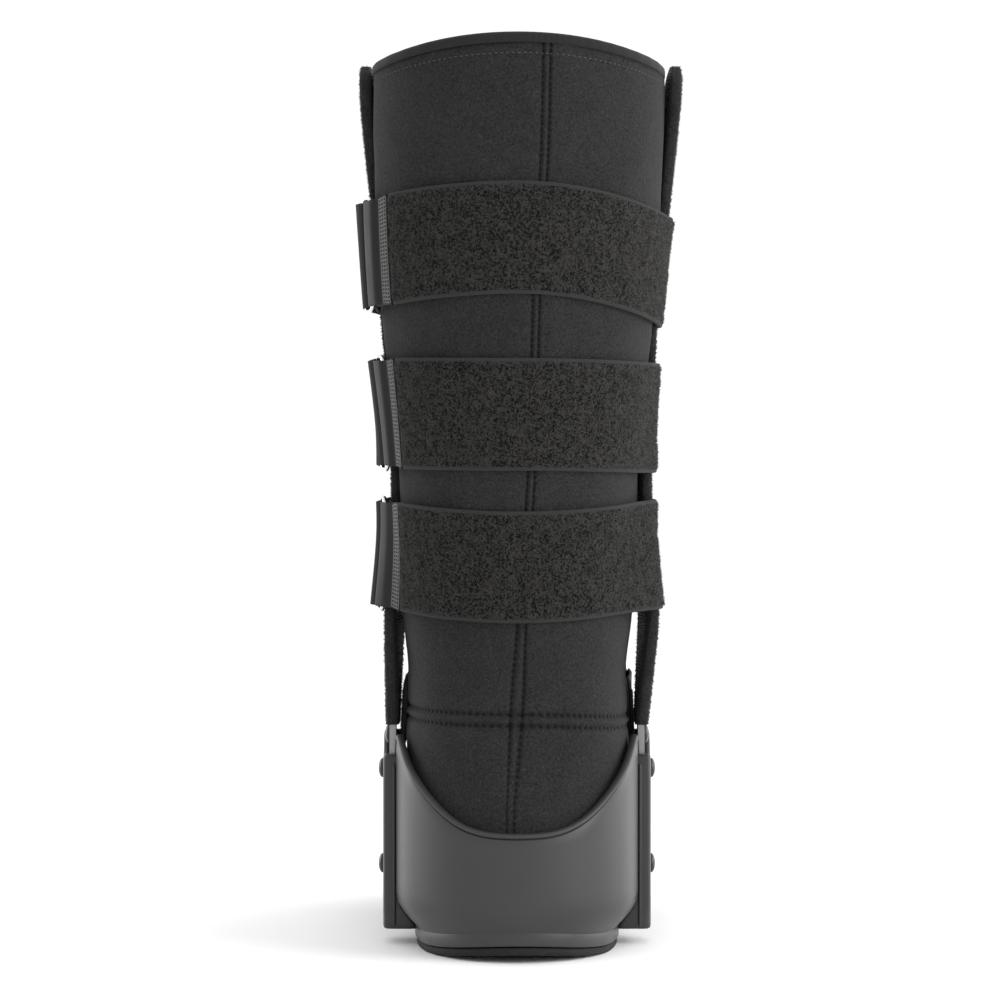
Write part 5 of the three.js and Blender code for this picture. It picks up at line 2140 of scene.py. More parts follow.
@dataclass
class MouldedShell:
    """Rocker sole and the moulded shell with its rolled rim and side sockets.

    Attributes:
        stations: Points round the outlines.
        lip: Height of the rolled rim.
        boss_height: Height of the sockets' raised front.
        overlap: How far a socket reaches into the wall.
        outer_shares: Rings of the outer face between the step and the rim.
        inner_shares: Rings of the inner face, from the rim down.
    """

    stations: int = 240
    lip: float = 2.2
    boss_height: float = 97
    overlap: float = 2.2
    outer_shares: tuple = (0, 0.04, 0.08, 0.13, 0.19, 0.26, 0.36, 0.5, 0.64, 0.78, 0.9, 1.0)
    inner_shares: tuple = (0.85, 0.6, 0.4, 0.25, 0.12, 0)

    def build(self) -> list[bpy.types.Object]:
        """Makes the shell and the sole.

        Returns:
            The pieces.
        """
        outline = Outline(self.stations)
        bottom = SIZES.sole_thickness + SIZES.clearance
        plan = outline.plate(bottom, SIZES.floor_height, 0, 0.6)
        plan = plan.joined(self.wall(outline))
        for side in Side:
            plan = plan.joined(self.socket(side, outline)).joined(self.bead(side))
        shell = plan.make("moulded_shell", [PLASTIC])
        sole = outline.plate(0, SIZES.sole_thickness, 0.8, 0.9).make("rocker_sole", [RUBBER])
        return [
            place_piece(shell, ["shell"]),
            place_piece(sole, ["outsole"]),
        ]

    def wall(self, outline: Outline) -> MeshPlan:
        """Wall with its flare, its groove and its rolled rim.

        Args:
            outline: Plan outlines.

        Returns:
            The closed wall.
        """
        y = outline.points["shell"][:, 1]
        start = SIZES.step_height + SIZES.rocker(outline.points["sole"][:, 1])
        rim = np.maximum(rim_line(y), start + 6)
        wall, lip = SIZES.shell_wall, self.lip
        rings = [outline.wall(start - 3, 1.0), outline.wall(start - 0.6, 0.5)]
        body = rim - lip - 0.5
        rings += [outline.wall(start + share * (body - start), 0.0) for share in self.outer_shares]
        roll = [(-lip - 0.3, 0.1), (-lip - 0.1, 0.9), (-lip + 0.25, 0.9), (-lip + 0.4, -0.2)]
        roll += [(-lip * 0.6, -0.6), (-lip * 0.25, -0.45), (0.1, 0.3), (0.3, wall * 0.5)]
        roll += [(0.1, wall * 0.85), (-0.6, wall), (-2, wall)]
        rings += [outline.wall(rim + up, inset) for up, inset in roll]
        rings += [outline.wall(start + share * (rim - 2 - start), wall) for share in self.inner_shares]
        rings.append(outline.wall(start - 3, wall))
        return loft(np.array(rings), loop=True)

    def inner_face(self, outline: Outline, height: float) -> float:
        """Where a socket meets the wall.

        Args:
            outline: Plan outlines.
            height: Height.

        Returns:
            Distance from the middle plane.
        """
        wall = outline.wall(np.full(self.stations, height), 0)
        away = np.abs(wall[:, 1] - SIZES.bar_forward) + 1000 * (wall[:, 0] < 0)
        return min(SIZES.half_width - self.overlap, wall[np.argmin(away), 0] - 1.6)

    def socket_ring(
        self, low: float, width: float, less: float, power: float = 0.28
    ) -> tuple[Array, Array]:
        """Rounded rectangle of a socket in plan.

        Args:
            low: Inner face.
            width: Half the width along the foot.
            less: Distance inwards from the outer face.
            power: Roundness of the corners.

        Returns:
            Places across and along.
        """
        across, along = squared_turn(whole_turn(64) + np.pi, power)
        middle, half = (low + SIZES.socket_face - less) / 2, (SIZES.socket_face - less - low) / 2
        return middle + across * half, SIZES.bar_forward + along * width

    def socket_top(self, y: Array) -> Array:
        """Height of a socket's top, which steps up in front of the bar's middle."""
        rise = self.boss_height - SIZES.socket_top
        return SIZES.socket_top + rise * ease(SIZES.bar_forward + 2, SIZES.bar_forward + 10, y)

    def socket(self, side: Side, outline: Outline) -> MeshPlan:
        """Side socket with rounded edges, a raised front boss and an open top.

        Args:
            side: Side of the boot.
            outline: Plan outlines.

        Returns:
            The closed socket.
        """
        rings = []
        reach, foot = SIZES.socket_width / 2, SIZES.socket_foot
        rises, insets = (0, 0.5, 1.6, 4, 7, 10, 13, 17, 22), (1.4, 0.4) + (0.0,) * 7
        for rise, less in zip(rises, insets):
            x, y = self.socket_ring(self.inner_face(outline, foot + rise), reach - less, less * 0.6)
            rings.append(np.stack([x, y, np.full_like(x, foot + rise)], axis=1))
        inner = SIZES.half_width - self.overlap
        for share in (0.25, 0.5, 0.75, 1.0):
            x, y = self.socket_ring(inner, reach, 0)
            z = foot + 24 + share * (self.socket_top(y) - 1.8 - foot - 24)
            rings.append(np.stack([x, y, z], axis=1))
        for less, down in ((0.35, 0.7), (1.1, 0.0)):
            x, y = self.socket_ring(inner, reach - less, less * 0.6)
            rings.append(np.stack([x, y, self.socket_top(y) - down], axis=1))
        gap = SIZES.bar_thickness / 2 + SIZES.clearance
        low, less = SIZES.bar_seat - gap, SIZES.socket_face - SIZES.bar_seat - gap
        x, y = self.socket_ring(low, SIZES.bar_width / 2 + SIZES.clearance, less, 0.12)
        rings.append(np.stack([x, y, self.socket_top(y)], axis=1))
        rings.append(np.stack([x, y, np.full_like(x, foot + 4)], axis=1))
        return loft(np.array(rings) * np.array([side.sign, 1, 1]))

    def bead(self, side: Side) -> MeshPlan:
        """Thin upright ridge on a socket's back face.

        Args:
            side: Side of the boot.

        Returns:
            The closed ridge.
        """
        turn = whole_turn(12)
        heights = np.array([8, 8.8, 9.6, 45, 81, 82.4, 83.2])
        radii = np.array([0.2, 0.7, 0.9, 0.9, 0.9, 0.7, 0.2])
        x = SIZES.half_width + 1.3 + radii[:, None] * np.cos(turn)
        y = SIZES.bar_forward - SIZES.socket_width / 2 + radii[:, None] * np.sin(turn)
        z = np.broadcast_to(heights[:, None], x.shape)
        return loft(np.stack([x * side.sign, y, z], axis=-1))


class Girth:
    """A way round the boot in a plane, as far out as what lies inside it.

    Attributes:
        height_step: Distance between the measured heights in millimetres.
        turn_step: Distance between the measured angles in degrees.
        slant_reach: Degrees beside a slanting weld over which the slant dies out.
        half_strap: Half the width of a strap with a slanting weld.
    """

    height_step = 2.0
    turn_step = 1.5
    slant_reach = 16
    half_strap = 25

    def __init__(
        self,
        centre: Sequence[float],
        tilt: float,
        bodies: Sequence[Array],
        span: tuple[float, float],
        lift: Callable[[Array], Array],
        clearance: float,
        lean: tuple[float, float] = (0.0, 0.0),
    ) -> None:
        """Measures the bodies inside the girth.

        Args:
            centre: Centre of the girth.
            tilt: Turn of its plane about X in radians.
            bodies: Grids of the bodies inside.
            span: Lowest and highest place across the girth's width.
            lift: Height of its middle by angle in degrees.
            clearance: Distance kept from the bodies.
            lean: Angle of a slanting weld and its slant in degrees at the strap's edges.
        """
        self.lean = lean
        self.centre = np.array(centre, float)
        self.along = np.array([0, math.cos(tilt), math.sin(tilt)])
        self.across = np.array([1.0, 0, 0])
        self.width_way = np.cross(self.across, self.along)
        self.lift = lift
        self.clearance = clearance
        self.heights = np.arange(span[0], span[1] + 2, self.height_step)
        ways = np.radians(np.arange(0, 360, 2))
        turns = np.radians(np.arange(0, 360, self.turn_step))
        facing = np.cos(ways[:, None] - turns[None, :])
        rows = []
        for height in self.heights:
            points = np.concatenate([self.cut(body, height) for body in bodies])
            reach = (points @ np.stack([np.sin(ways), np.cos(ways)])).max(axis=0)
            ratio = np.where(facing > 0.3, reach[:, None] / np.maximum(facing, 0.3), np.inf)
            rows.append(ratio.min(axis=0))
        table = np.array(rows)
        table = np.max([np.roll(table, k, axis=1) for k in (-2, -1, 0, 1, 2)], axis=0)
        table = smoothed(table.T, 2.0, closed=True).T
        self.table = smoothed(table, 1.2)

    def cut(self, grid: Array, height: float) -> Array:
        """Where a body's grid crosses the plane.

        Args:
            grid: Points as rings by points by three.
            height: Place of the plane across the width.

        Returns:
            Points of the crossing, across and backwards.
        """
        flat = grid - self.centre
        level = flat @ self.width_way - height
        found = []
        down = (flat[:-1], flat[1:], level[:-1], level[1:])
        round_ = (flat, np.roll(flat, -1, axis=1), level, np.roll(level, -1, axis=1))
        for a, b, s, t in (down, round_):
            hit = s * t < 0
            share = (s[hit] / (s[hit] - t[hit]))[:, None]
            found.append(a[hit] + (b[hit] - a[hit]) * share)
        points = np.concatenate(found)
        return np.stack([points @ self.across, -(points @ self.along)], axis=1)

    def radius(self, degrees: Array, height: Array) -> Array:
        """Distance of the surface from the centre.

        Args:
            degrees: Angles from the back.
            height: Places across the width.

        Returns:
            Distances.
        """
        turn = (np.asarray(degrees) % 360) / self.turn_step
        row = np.clip((height - self.heights[0]) / self.height_step, 0, len(self.heights) - 1.001)
        return looked_up(self.table, row, turn)

    def point(self, degrees: Array, off: Array, width: Array) -> Array:
        """Points over the surface.

        Args:
            degrees: Angles from the back.
            off: Distances off the surface.
            width: Places across the strap's width.

        Returns:
            Points.
        """
        near = (np.asarray(degrees) - self.lean[0] + 180) % 360 - 180
        degrees = degrees - self.lean[1] * bell(0, self.slant_reach, near) * width / self.half_strap
        height = self.lift(degrees) + width
        out = self.radius(degrees, height) + self.clearance + off
        angle = np.radians(degrees)
        return (
            self.centre
            + (out * np.sin(angle))[..., None] * self.across
            - (out * np.cos(angle))[..., None] * self.along
            + height[..., None] * self.width_way
        )


@dataclass
class StrapRoute:
    """Way of a strip of cloth round a girth.

    Attributes:
        girth: The girth.
        radius: Mean radius, which turns degrees into lengths.
        mirrored: Whether the angles run the other way round.
        stops: Angle, distance off the surface and width of its stations.
        step: Distance between its sections.
        fine_step: Distance between the points that are smoothed.
        sharpest: Largest bend from section to section in radians.
    """

    girth: Girth
    radius: float
    mirrored: bool
    stops: list
    step: float = 1.25
    fine_step: float = 0.25
    sharpest: float = 0.22

    def sections(self) -> tuple[Array, Array, Array, Array]:
        """Evenly spaced stations.

        Returns:
            Lengths, flat points, flat ways and widths.
        """
        stops = np.array(self.stops, float)
        flat = np.stack([np.radians(stops[:, 0]) * self.radius, stops[:, 1]], axis=1)
        length = run_length(flat)
        fine = np.arange(0, length[-1], self.fine_step)
        dense = np.stack([np.interp(fine, length, flat[:, k]) for k in (0, 1)], axis=1)
        width = np.interp(fine, length, stops[:, 2])
        ends = dense[0].copy(), dense[-1].copy()
        dense = smoothed(dense, 3.2)
        width = smoothed(width, 8.0)
        dense[0], dense[-1] = ends
        bend = np.abs(np.gradient(np.unwrap(np.arctan2(*np.gradient(dense, axis=0).T[::-1]))))
        need = np.cumsum(np.maximum(self.fine_step / self.step, bend / self.sharpest))
        marks = np.arange(0, need[-1], 1.0)
        pick = np.clip(np.searchsorted(need, marks), 0, len(fine) - 1)
        pick = np.unique(np.concatenate([[0], pick, [len(fine) - 1]]))
        way = unit(np.gradient(dense, axis=0))
        return fine[pick], dense[pick], way[pick], width[pick]

    def points(self, flat: Array, way: Array, rise: Array, across: Array) -> Array:
        """Points of the strip.

        Args:
            flat: Flat points of the stations.
            way: Their ways.
            rise: Heights over the strip's middle, stations by points.
            across: Places across the width, stations by points.

        Returns:
            Points as stations by points by three.
        """
        along = flat[:, 0:1] - way[:, 1:2] * rise
        off = flat[:, 1:2] + way[:, 0:1] * rise
        degrees = np.degrees(along / self.radius)
        if self.mirrored:
            degrees = -degrees
        return self.girth.point(degrees, off, across)


def span(start: float, end: float, off: float, width: float, last: Optional[float] = None) -> list:
    """Stations from one angle to another.

    Args:
        start: First angle in degrees.
        end: Last angle.
        off: Distance off the surface, or its first value.
        width: Width.
        last: Last distance off the surface, where it changes.

    Returns:
        Stations.
    """
    count = max(2, round(abs(end - start) / 10))
    last = off if last is None else last
    return [
        (start + (end - start) * i / count, off + (last - off) * i / count, width)
        for i in range(count + 1)
    ]


def turn_round(angle: float, middle: float, reach: float, width: float, way: int, radius: float) -> list:
    """Stations of a turn round a ring's wire.

    Args:
        angle: Angle of the wire.
        middle: Distance of the wire off the surface.
        reach: Radius of the turn.
        width: Width of the strip.
        way: Direction that the turn bulges in.
        radius: Radius of the girth.

    Returns:
        Stations.
    """
    stops = []
    for i in range(9):
        arc = -math.pi / 2 + i / 8 * math.pi
        shift = math.degrees(math.cos(arc) * reach * way / radius)
        stops.append((angle + shift, middle + math.sin(arc) * reach, width))
    return stops


@dataclass
class StrapSet:
    """A pile strap, the webbing loop that holds its ring, and the ring.

    Attributes:
        name: Word in the names of its pieces.
        girth: Way round the boot that it lies on.
        radius: Mean radius of the girth.
        width: Width of the strap.
        mirrored: Whether the angles run the other way round.
        start: Stations of the strap's fixed end.
        chafe_start: Angles where the webbing starts, settles and ends, and its last height.
        ring: Angle of the ring.
        free_end: Angle of the strap's free end.
        nodes: CAD nodes of the strap, the webbing and the ring.
        groove: Angle of a groove across the pile, or nothing.
        thickness: Thickness of the strap.
        chafe_thickness: Thickness of the webbing.
        wire: Thickness of the ring's wire.
        play: Gap between wire and cloth.
        weld_pitch: Distance between the columns of the weld.
        ring_span: Length of the ring along the strap.
        ring_corner: Radius of the ring's corners.
        narrowing: How much narrower the cloth is in the ring.
        trim: Width of the bound edge.
        seed: Seed of the ruffle and the nap.
    """

    name: str
    girth: Girth
    radius: float
    width: float
    mirrored: bool
    start: list
    chafe_start: tuple[float, float, float, float]
    ring: float
    free_end: float
    nodes: tuple[str, str, str] = ("", "", "")
    groove: Optional[float] = None
    thickness: float = 2.2
    chafe_thickness: float = 1.3
    wire: float = 2.2
    play: float = 0.25
    weld_pitch: float = 1.6
    ring_span: float = 11
    ring_corner: float = 3
    narrowing: float = 2.5
    trim: float = 1.4
    seed: int = 1

    @property
    def loop_width(self) -> float:
        """Width of the cloth where it passes through the ring."""
        return self.width - self.narrowing

    @property
    def strap_turn(self) -> float:
        """Radius of the strap's turn round the ring."""
        return self.wire / 2 + self.play + self.thickness / 2

    @property
    def ring_off(self) -> float:
        """Distance of the ring's wire off the surface."""
        return self.thickness / 2 + self.strap_turn

    def strap_route(self) -> StrapRoute:
        """Way of the pile strap."""
        low = self.thickness / 2
        half = math.degrees((self.ring_span - self.wire) / 2 / self.radius)
        near = self.ring + 360 - half
        lapped = 3 * low + SIZES.clearance
        width, loop = self.width, self.loop_width
        stops = list(self.start)
        stops += span(stops[-1][0] + 10, near - 16, low, width)
        stops.append((near - 8, low, loop))
        stops += turn_round(near, self.ring_off, self.strap_turn, loop, 1, self.radius)
        bulge = self.ring_off + self.strap_turn
        stops.append((near - 4, bulge + 0.1, loop))
        stops.append((near - 9, (bulge + lapped) / 2 + 0.2, (loop + width) / 2))
        stops.append((near - 15, lapped + 0.15, width))
        stops += span(near - 22, self.free_end, lapped, width)
        stops.append((self.free_end - 2.5, lapped, width * 0.93))
        stops.append((self.free_end - 4.5, lapped, width * 0.7))
        return StrapRoute(self.girth, self.radius, self.mirrored, stops)

    def chafe_route(self) -> StrapRoute:
        """Way of the webbing loop."""
        under, settled, over, off = self.chafe_start
        half = math.degrees((self.ring_span - self.wire) / 2 / self.radius)
        far = self.ring + half
        low = self.chafe_thickness / 2
        turn = self.wire / 2 + self.play + self.chafe_thickness / 2
        stops = span(under, far + 5, low, self.loop_width)
        stops += turn_round(far, self.ring_off, turn, self.loop_width, -1, self.radius)
        stops += span(far + 6, settled, self.ring_off + turn * 0.85, self.loop_width, off)
        stops.append((over, off, self.loop_width if self.mirrored else self.width))
        return StrapRoute(self.girth, self.radius, self.mirrored, stops)

    def cloth(self, route: StrapRoute, thickness: float, pile: bool) -> MeshPlan:
        """Skin of a strip with eased edges.

        Args:
            route: Way of the strip.
            thickness: Thickness of the cloth.
            pile: Whether its outer face is pile between bound edges.

        Returns:
            The closed strip.
        """
        length, flat, way, width = route.sections()
        half = width[:, None] / 2
        margin = self.trim if pile else 1.0
        inner = np.linspace(-1, 1, 33 if pile else 17)
        edge = np.array([0.0, 0.12, 0.45, 1.0])
        inset, middle = edge * margin, inner * (half - margin - 0.5)
        place = np.concatenate([-half + inset, middle, half - inset[::-1]], axis=1)
        body = np.ones(len(inner)) * (1.25 if pile else 1.0)
        side = np.array([0.0, 0.7, 1.0, 1.0])
        rise = np.concatenate([side, body, side[::-1]]) * thickness / 2
        rise = np.broadcast_to(rise, place.shape).copy()
        under = np.linspace(1, -1, 9)
        below = under * (half - 0.3)
        across = np.concatenate([place, below], axis=1)
        sunk = np.broadcast_to(np.full(9, -thickness / 2), below.shape)
        height = np.concatenate([rise, sunk], axis=1)
        plain = route.points(flat, way, height, across)
        mark = np.zeros(across.shape)
        if pile:
            mark[:, 4:-13] = 1.0
            ruffle = grain(plain, 1.9, self.seed) * 0.42 + grain(plain, 4.5, self.seed + 1) * 0.35
            height = height + ruffle * mark
        wave = grain(plain * np.array([1, 1, 0.3]), 22, self.seed + 2) * (0.3 if pile else 0.0)
        if self.groove is not None and pile:
            degrees = np.degrees(flat[:, 0:1] / self.radius) % 360
            height = height - mark * 0.55 * bell(self.groove, 0.8, degrees)
        grid = route.points(flat, way, height + wave * ease(0, 12, length)[:, None], across)
        uv = np.stack(np.broadcast_arrays(length[:, None], across), axis=-1)
        plan = loft(grid, uv)
        plan.marks["pile"] = mark.ravel()
        return plan

    def build(self) -> list[bpy.types.Object]:
        """Makes the strap, its nap, the loop with its weld, and the ring.

        Returns:
            The pieces.
        """
        strap_name, chafe_name, ring_name = self.nodes
        strap_way = self.strap_route()
        strap = self.cloth(strap_way, self.thickness, True).make(f"pile_{self.name}", [PILE])
        place_piece(strap, [strap_name])
        pieces = [strap]
        values = {"Density": 750000.0, "Height": 1.15 * MM, "Radius": 0.19 * MM, "Lean": 1.2}
        values["Seed"] = self.seed
        nap = tuft_tree(f"nap_{self.name}", PILE_NAP).run(f"nap_{self.name}", strap, values)
        pieces.append(place_piece(nap))
        route = self.chafe_route()
        chafe = self.cloth(route, self.chafe_thickness, False).make(f"webbing_{self.name}", [LOOP_WEBBING])
        pieces.append(place_piece(chafe, [chafe_name]))
        pieces.append(self.weld(route))
        pieces.append(self.wire_ring(ring_name))
        self.declare(strap, strap_way, [nap])
        self.declare(chafe, route, [pieces[-2]])
        return pieces

    @staticmethod
    def declare(piece: bpy.types.Object, route: StrapRoute, others: Sequence[bpy.types.Object]) -> None:
        """Works out the flat area of a strip, which nothing uses further.

        Args:
            piece: The strip. Not used.
            route: Its way.
            others: Pieces that it carries. Not used.
        """
        length, _, _, width = route.sections()
        area = float((np.diff(length) * (width[1:] + width[:-1]) / 2).sum()) * MM * MM

    def weld(self, route: StrapRoute) -> bpy.types.Object:
        """Grid of welded prints at the end of the webbing loop.

        Args:
            route: Way of the webbing loop.

        Returns:
            The piece.
        """
        length, flat, way, width = route.sections()
        points, alongs, facings = [], [], []
        rows = max(8, int(self.loop_width / 1.75))
        for back in (1.3, 1.3 + self.weld_pitch, 1.3 + 2 * self.weld_pitch):
            at = length[-1] - back
            middle = np.array([np.interp(at, length, flat[:, k]) for k in (0, 1)])[None, :]
            heading = np.array([np.interp(at, length, way[:, k]) for k in (0, 1)])[None, :]
            half = np.interp(at, length, width) / 2 - 1.8
            across = np.linspace(-half, half, rows)[None, :]
            rise = np.full_like(across, self.chafe_thickness / 2 + 0.12)
            here = route.points(middle, heading, rise, across)[0]
            above = route.points(middle, heading, rise + 1, across)[0]
            ahead = route.points(middle + heading * 0.5, heading, rise, across)[0]
            points.append(here)
            facings.append(above - here)
            alongs.append(ahead - here)
        marks = {"facing": np.concatenate(facings), "along": np.concatenate(alongs)}
        guide = point_guide(f"weld_{self.name}_guide", np.concatenate(points), marks)
        values = {"Width": (self.weld_pitch - 0.15) * MM, "Height": 1.3 * MM, "Rim": 0.3 * MM}
        piece = weld_tree(f"weld_{self.name}").run(f"weld_{self.name}", guide, values)
        drop(guide)
        return place_piece(piece)

    def wire_ring(self, node: str) -> bpy.types.Object:
        """Rectangular ring of bent wire.

        Args:
            node: CAD node that it stands for.

        Returns:
            The piece.
        """
        half = np.array([self.ring_span / 2, (self.loop_width + 1 + self.wire) / 2])
        corner = self.ring_corner
        path = []
        for sign_x, sign_y, start in ((1, 1, 0), (-1, 1, 90), (-1, -1, 180), (1, -1, 270)):
            for turn in np.radians(np.linspace(start, start + 90, 9)):
                x = sign_x * (half[0] - corner) + math.cos(turn) * corner
                y = sign_y * (half[1] - corner) + math.sin(turn) * corner
                path.append((x, y))
            if sign_x != sign_y:
                for share in (0.6, 0.2, -0.2, -0.6):
                    path.append((sign_x * half[0], sign_y * share * (half[1] - corner)))
        flat = np.array(path)
        degrees = self.ring + np.degrees(flat[:, 0] / self.radius)
        if self.mirrored:
            degrees = -degrees
        places = self.girth.point(degrees, np.full(len(flat), self.ring_off), flat[:, 1])
        turn = -self.ring if self.mirrored else self.ring
        base = self.girth.point(np.array([turn]), np.array([self.ring_off]), np.zeros(1))[0]
        out = self.girth.point(np.array([turn]), np.array([self.ring_off + 10]), np.zeros(1))[0] - base
        out = unit(out)
        level = (places - base) @ out
        places = places - np.outer(level * 0.6, out)
        way = unit(np.roll(places, -1, axis=0) - np.roll(places, 1, axis=0))
        sideways = unit(np.cross(way, out))
        upward = np.cross(sideways, way)
        arc = whole_turn(12)
        rings = (
            places[:, None]
            + np.cos(arc)[None, :, None] * upward[:, None] * self.wire / 2
            + np.sin(arc)[None, :, None] * sideways[:, None] * self.wire / 2
        )
        piece = loft(rings, loop=True).make(f"wire_{self.name}", [STEEL])
        return place_piece(piece, [node])


@dataclass
class Strapping:
    """The five straps of the boot."""

    sleeves: Sequence[Array]
    shell_wall: Array

    def build(self) -> list[bpy.types.Object]:
        """Makes every strap set.

        Returns:
            The pieces.
        """
        pieces = []
        for strap in [*self.calf(), self.ankle(), self.forefoot()]:
            pieces += strap.build()
        return pieces

    def bodies(self) -> list[Array]:
        """Liner with its flap, and both sleeves."""
        angle = whole_turn(180)
        liner = LINER.surface(np.linspace(0, 8, 90), angle)
        spread = np.radians(np.linspace(128, 232, 60))
        front = LINER.surface(np.linspace(0, 7, 80), spread)
        out = normals_of(front, closed=False)
        out = out * (1 if out[..., 1].mean() > 0 else -1)
        return [liner + 0.4 * normals_of(liner), front + out * 3.3, *self.sleeves]

    def calf(self) -> list[StrapSet]:
        """The three straps round the calf.

        Returns:
            The strap sets.
        """
        bodies = self.bodies()
        sets, width = [], 50
        for number, (name, row) in enumerate(CALF_STRAPS.items()):
            back, right, front, left, ring, weld, groove, slant, pitch = row

            def lift(degrees: Array, row: tuple = (back, right, front, left)) -> Array:
                """Height of the strap's middle, eased between its four sides."""
                angle = np.radians(degrees)
                ends = np.where(np.cos(angle) > 0, row[0], row[2])
                sides = np.where(np.sin(angle) > 0, row[1], row[3])
                share = np.cos(angle) ** 2
                return (sides + (ends - sides) * share) * SIZES.liner_height

            low = min(row[:4]) * SIZES.liner_height - 30
            high = max(row[:4]) * SIZES.liner_height + 30
            girth = Girth((0, 0, 0), 0, bodies, (low, high), lift, 0.0, (weld, slant))
            over = 1.3 + 2 * SIZES.clearance + 1.1
            sets.append(StrapSet(
                name=f"calf_{name}",
                girth=girth,
                radius=SIZES.calf_width / 2,
                width=width,
                mirrored=False,
                start=span(weld, -34, over, width),
                chafe_start=(weld + 6, weld - 8, weld - 1.5, over),
                ring=ring,
                free_end=196,
                nodes=(f"calf_strap_{name}", f"chafe_{name}", f"ring_{name}"),
                groove=groove,
                weld_pitch=pitch,
                seed=20 + number,
            ))
        return sets

    def ankle(self) -> StrapSet:
        """The strap over the instep.

        Returns:
            The strap set.
        """
        angle = whole_turn(180)
        liner = LINER.surface(np.linspace(0, 16, 160), angle)
        centre = (0, SIZES.bar_forward, 105)
        girth = Girth(centre, math.radians(14), [liner], (-20, 20), np.zeros_like, 0.6)
        return StrapSet(
            name="ankle",
            girth=girth,
            radius=SIZES.ankle_width / 2,
            width=28,
            mirrored=True,
            start=span(84, 93, 1.1, 27),
            chafe_start=(-82, -106, -84, 1.3 * 1.5 + 0.3),
            ring=-125,
            free_end=176,
            nodes=("ankle_strap", "chafe_ankle", "ring_ankle"),
            seed=31,
        )

    def forefoot(self) -> StrapSet:
        """The strap over the forefoot, outside the shell.

        Returns:
            The strap set.
        """
        angle = whole_turn(180)
        liner = LINER.surface(np.linspace(5, 16, 160), angle)
        bodies = [liner, self.shell_wall]
        girth = Girth((0, 112, 36), math.pi / 2, bodies, (-24, 24), np.zeros_like, 1.05)
        return StrapSet(
            name="forefoot",
            girth=girth,
            radius=SIZES.ankle_width / 2,
            width=38,
            mirrored=True,
            start=span(76, 92, 1.1, 37),
            chafe_start=(-76, -90, -76, 1.3 * 1.5 + 0.3),
            ring=-108,
            free_end=172,
            nodes=("forefoot_strap", "chafe_forefoot", "ring_forefoot"),
            seed=37,
        )


@dataclass
class Rivets:
    """Domed rivets of the sockets, the bars and the forefoot strap."""

    head: float = 9
    rise: float = 2.2

    def build(self) -> list[bpy.types.Object]:
        """Sets a head on each CAD rivet's seat.

        Returns:
            The piece.
        """
        points, facings, nodes = [], [], []
        for side in Side:
            for place in ("low", "high", "ankle", "forefoot"):
                node = f"rivet_{place}_{side.word}"
                low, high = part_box(node)
                outer = (high.x if side.sign > 0 else low.x) / MM
                middle = ((low + high) / 2) / MM
                points.append((outer - side.sign * (self.rise * 0.85), middle.y, middle.z))
                facings.append((side.sign, 0, 0))
                nodes.append(node)
        guide = point_guide("rivet_guide", np.array(points), {"facing": np.array(facings, float)})
        values = {"Head": self.head * MM, "Rise": self.rise * MM}
        piece = rivet_tree("domed_rivets").run("domed_rivets", guide, values)
        drop(guide)
        return [place_piece(piece, nodes)]


# Studio


@dataclass(frozen=True)
class Backdrop(Finish):
    """Even pale paper."""

    def surface(self, graph: Graph) -> Surface:
        """Paper with a barely seen cloudiness."""
        wide = graph.noise(400)
        return Surface(graph.blend(wide, tone(250), tone(254)), self.roughness)


# Name, place in metres, side in metres and power in watts of the lamps
LAMPS = (
    ("left_lamp", (-1.3, 0.9, 0.5), 0.9, 8),
    ("right_lamp", (1.2, 0.75, 0.5), 0.9, 8),
    ("key_lamp", (1.4, -0.7, 0.7), 1.1, 18),
)


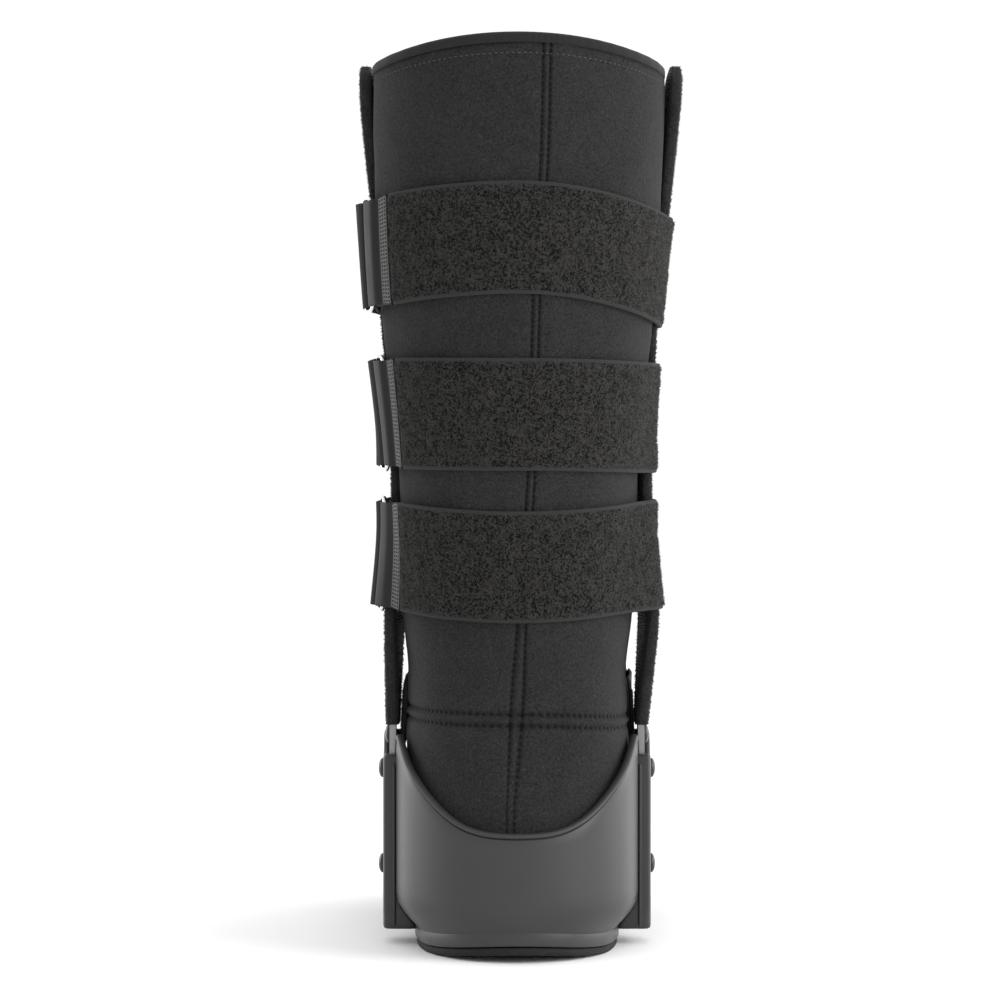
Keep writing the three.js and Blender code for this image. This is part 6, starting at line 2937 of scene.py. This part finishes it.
@dataclass
class Studio:
    """Camera, floor and soft light.

    Attributes:
        focal_pixels: Focal length in pixels of the photograph.
        picture: Width of the photograph in pixels.
        sensor: Width of the sensor.
        distance: Distance of the camera behind the leg's axis.
        eye_height: Height of the camera.
        eye_side: Distance of the camera from the middle plane.
        tilt: Angle that it looks down by, in degrees.
        floor_reach: Half the side of the floor.
    """

    focal_pixels: float = 4147
    picture: float = 1000
    sensor: float = 36
    distance: float = 1900
    eye_height: float = 254
    eye_side: float = -7.8
    tilt: float = 1.52
    floor_reach: float = 4000

    def camera(self) -> bpy.types.Object:
        """Makes the camera at the photograph's place."""
        data = bpy.data.cameras.new("studio_camera")
        data.sensor_width = self.sensor
        data.lens = self.focal_pixels / self.picture * self.sensor
        data.clip_end = 50
        camera = put("studio_camera", data)
        camera.location = (self.eye_side * MM, -self.distance * MM, self.eye_height * MM)
        camera.rotation_euler = (math.radians(90 - self.tilt), 0, 0)
        bpy.context.scene.camera = camera
        return camera

    def lamp(self, name: str, place: Colour, size: float, power: float, aim: Colour = (0, 0, 0.2)) -> None:
        """Adds a soft square lamp.

        Args:
            name: Name of the lamp.
            place: Where it hangs, in metres.
            size: Length of its side in metres.
            power: Power in watts.
            aim: Where it points, in metres.
        """
        data = bpy.data.lights.new(name, "AREA")
        data.shape = "SQUARE"
        data.size = size
        data.energy = power
        lamp = put(name, data)
        lamp.location = place
        way = np.array(aim) - np.array(place)
        flat = math.hypot(way[0], way[1])
        lamp.rotation_euler = (math.atan2(flat, -way[2]), 0, math.atan2(way[1], way[0]) - math.pi / 2)

    def build(self) -> None:
        """Makes the floor, the world's light and the lamps."""
        scene = bpy.context.scene
        scene.view_settings.view_transform = "Standard"
        world = bpy.data.worlds.new("studio_world")
        world.use_nodes = True
        world.node_tree.nodes.clear()
        graph = Graph(world.node_tree)
        light = {"Color": (1.0, 1.0, 1.0, 1.0), "Strength": 1.05}
        shader = graph.node("ShaderNodeBackground", {}, light)
        graph.node("ShaderNodeOutputWorld", {}, {"Surface": shader.outputs[0]})
        scene.world = world
        corners = np.array([[-1.0, -1, 0], [1, -1, 0], [1, 1, 0], [-1, 1, 0]]) * self.floor_reach
        paper = Backdrop("studio_paper", tone(252), 0.9)
        floor = MeshPlan(corners, [(0, 1, 2, 3)]).make("studio_floor", [paper])
        for lamp in LAMPS:
            self.lamp(*lamp)


def finish_bars(nodes: dict) -> None:
    """Gives the aluminium bars their brushed finish.

    Args:
        nodes: CAD nodes by name.
    """
    for side in Side:
        bar = nodes[f"upright_{side.word}"]
        for slot in bar.material_slots:
            slot.material = ALUMINIUM.material()


def main() -> None:
    """Builds the boot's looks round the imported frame."""
    logging.basicConfig(level=logging.INFO, format="%(name)s: %(message)s")
    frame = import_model()
    studio = Studio()
    studio.camera()
    studio.build()
    finish_bars(frame["nodes"])
    made = PaddedLiner().build()
    uprights = [SleevedUpright(side) for side in Side]
    for upright in uprights:
        made += upright.build()
    made += MouldedShell().build()
    stations, heights = 120, (8.0, 20.0, 30.0, 40.0, 50.0)
    outline = Outline(stations)
    wall = np.array([outline.wall(np.full(stations, height), 0.0) for height in heights])
    made += Strapping([u.outer() for u in uprights], wall).build()
    made += Rivets().build()
    LOG.info("%d pieces, %d faces", len(made), sum(len(p.data.polygons) for p in made))


if __name__ == "__main__":
    main()
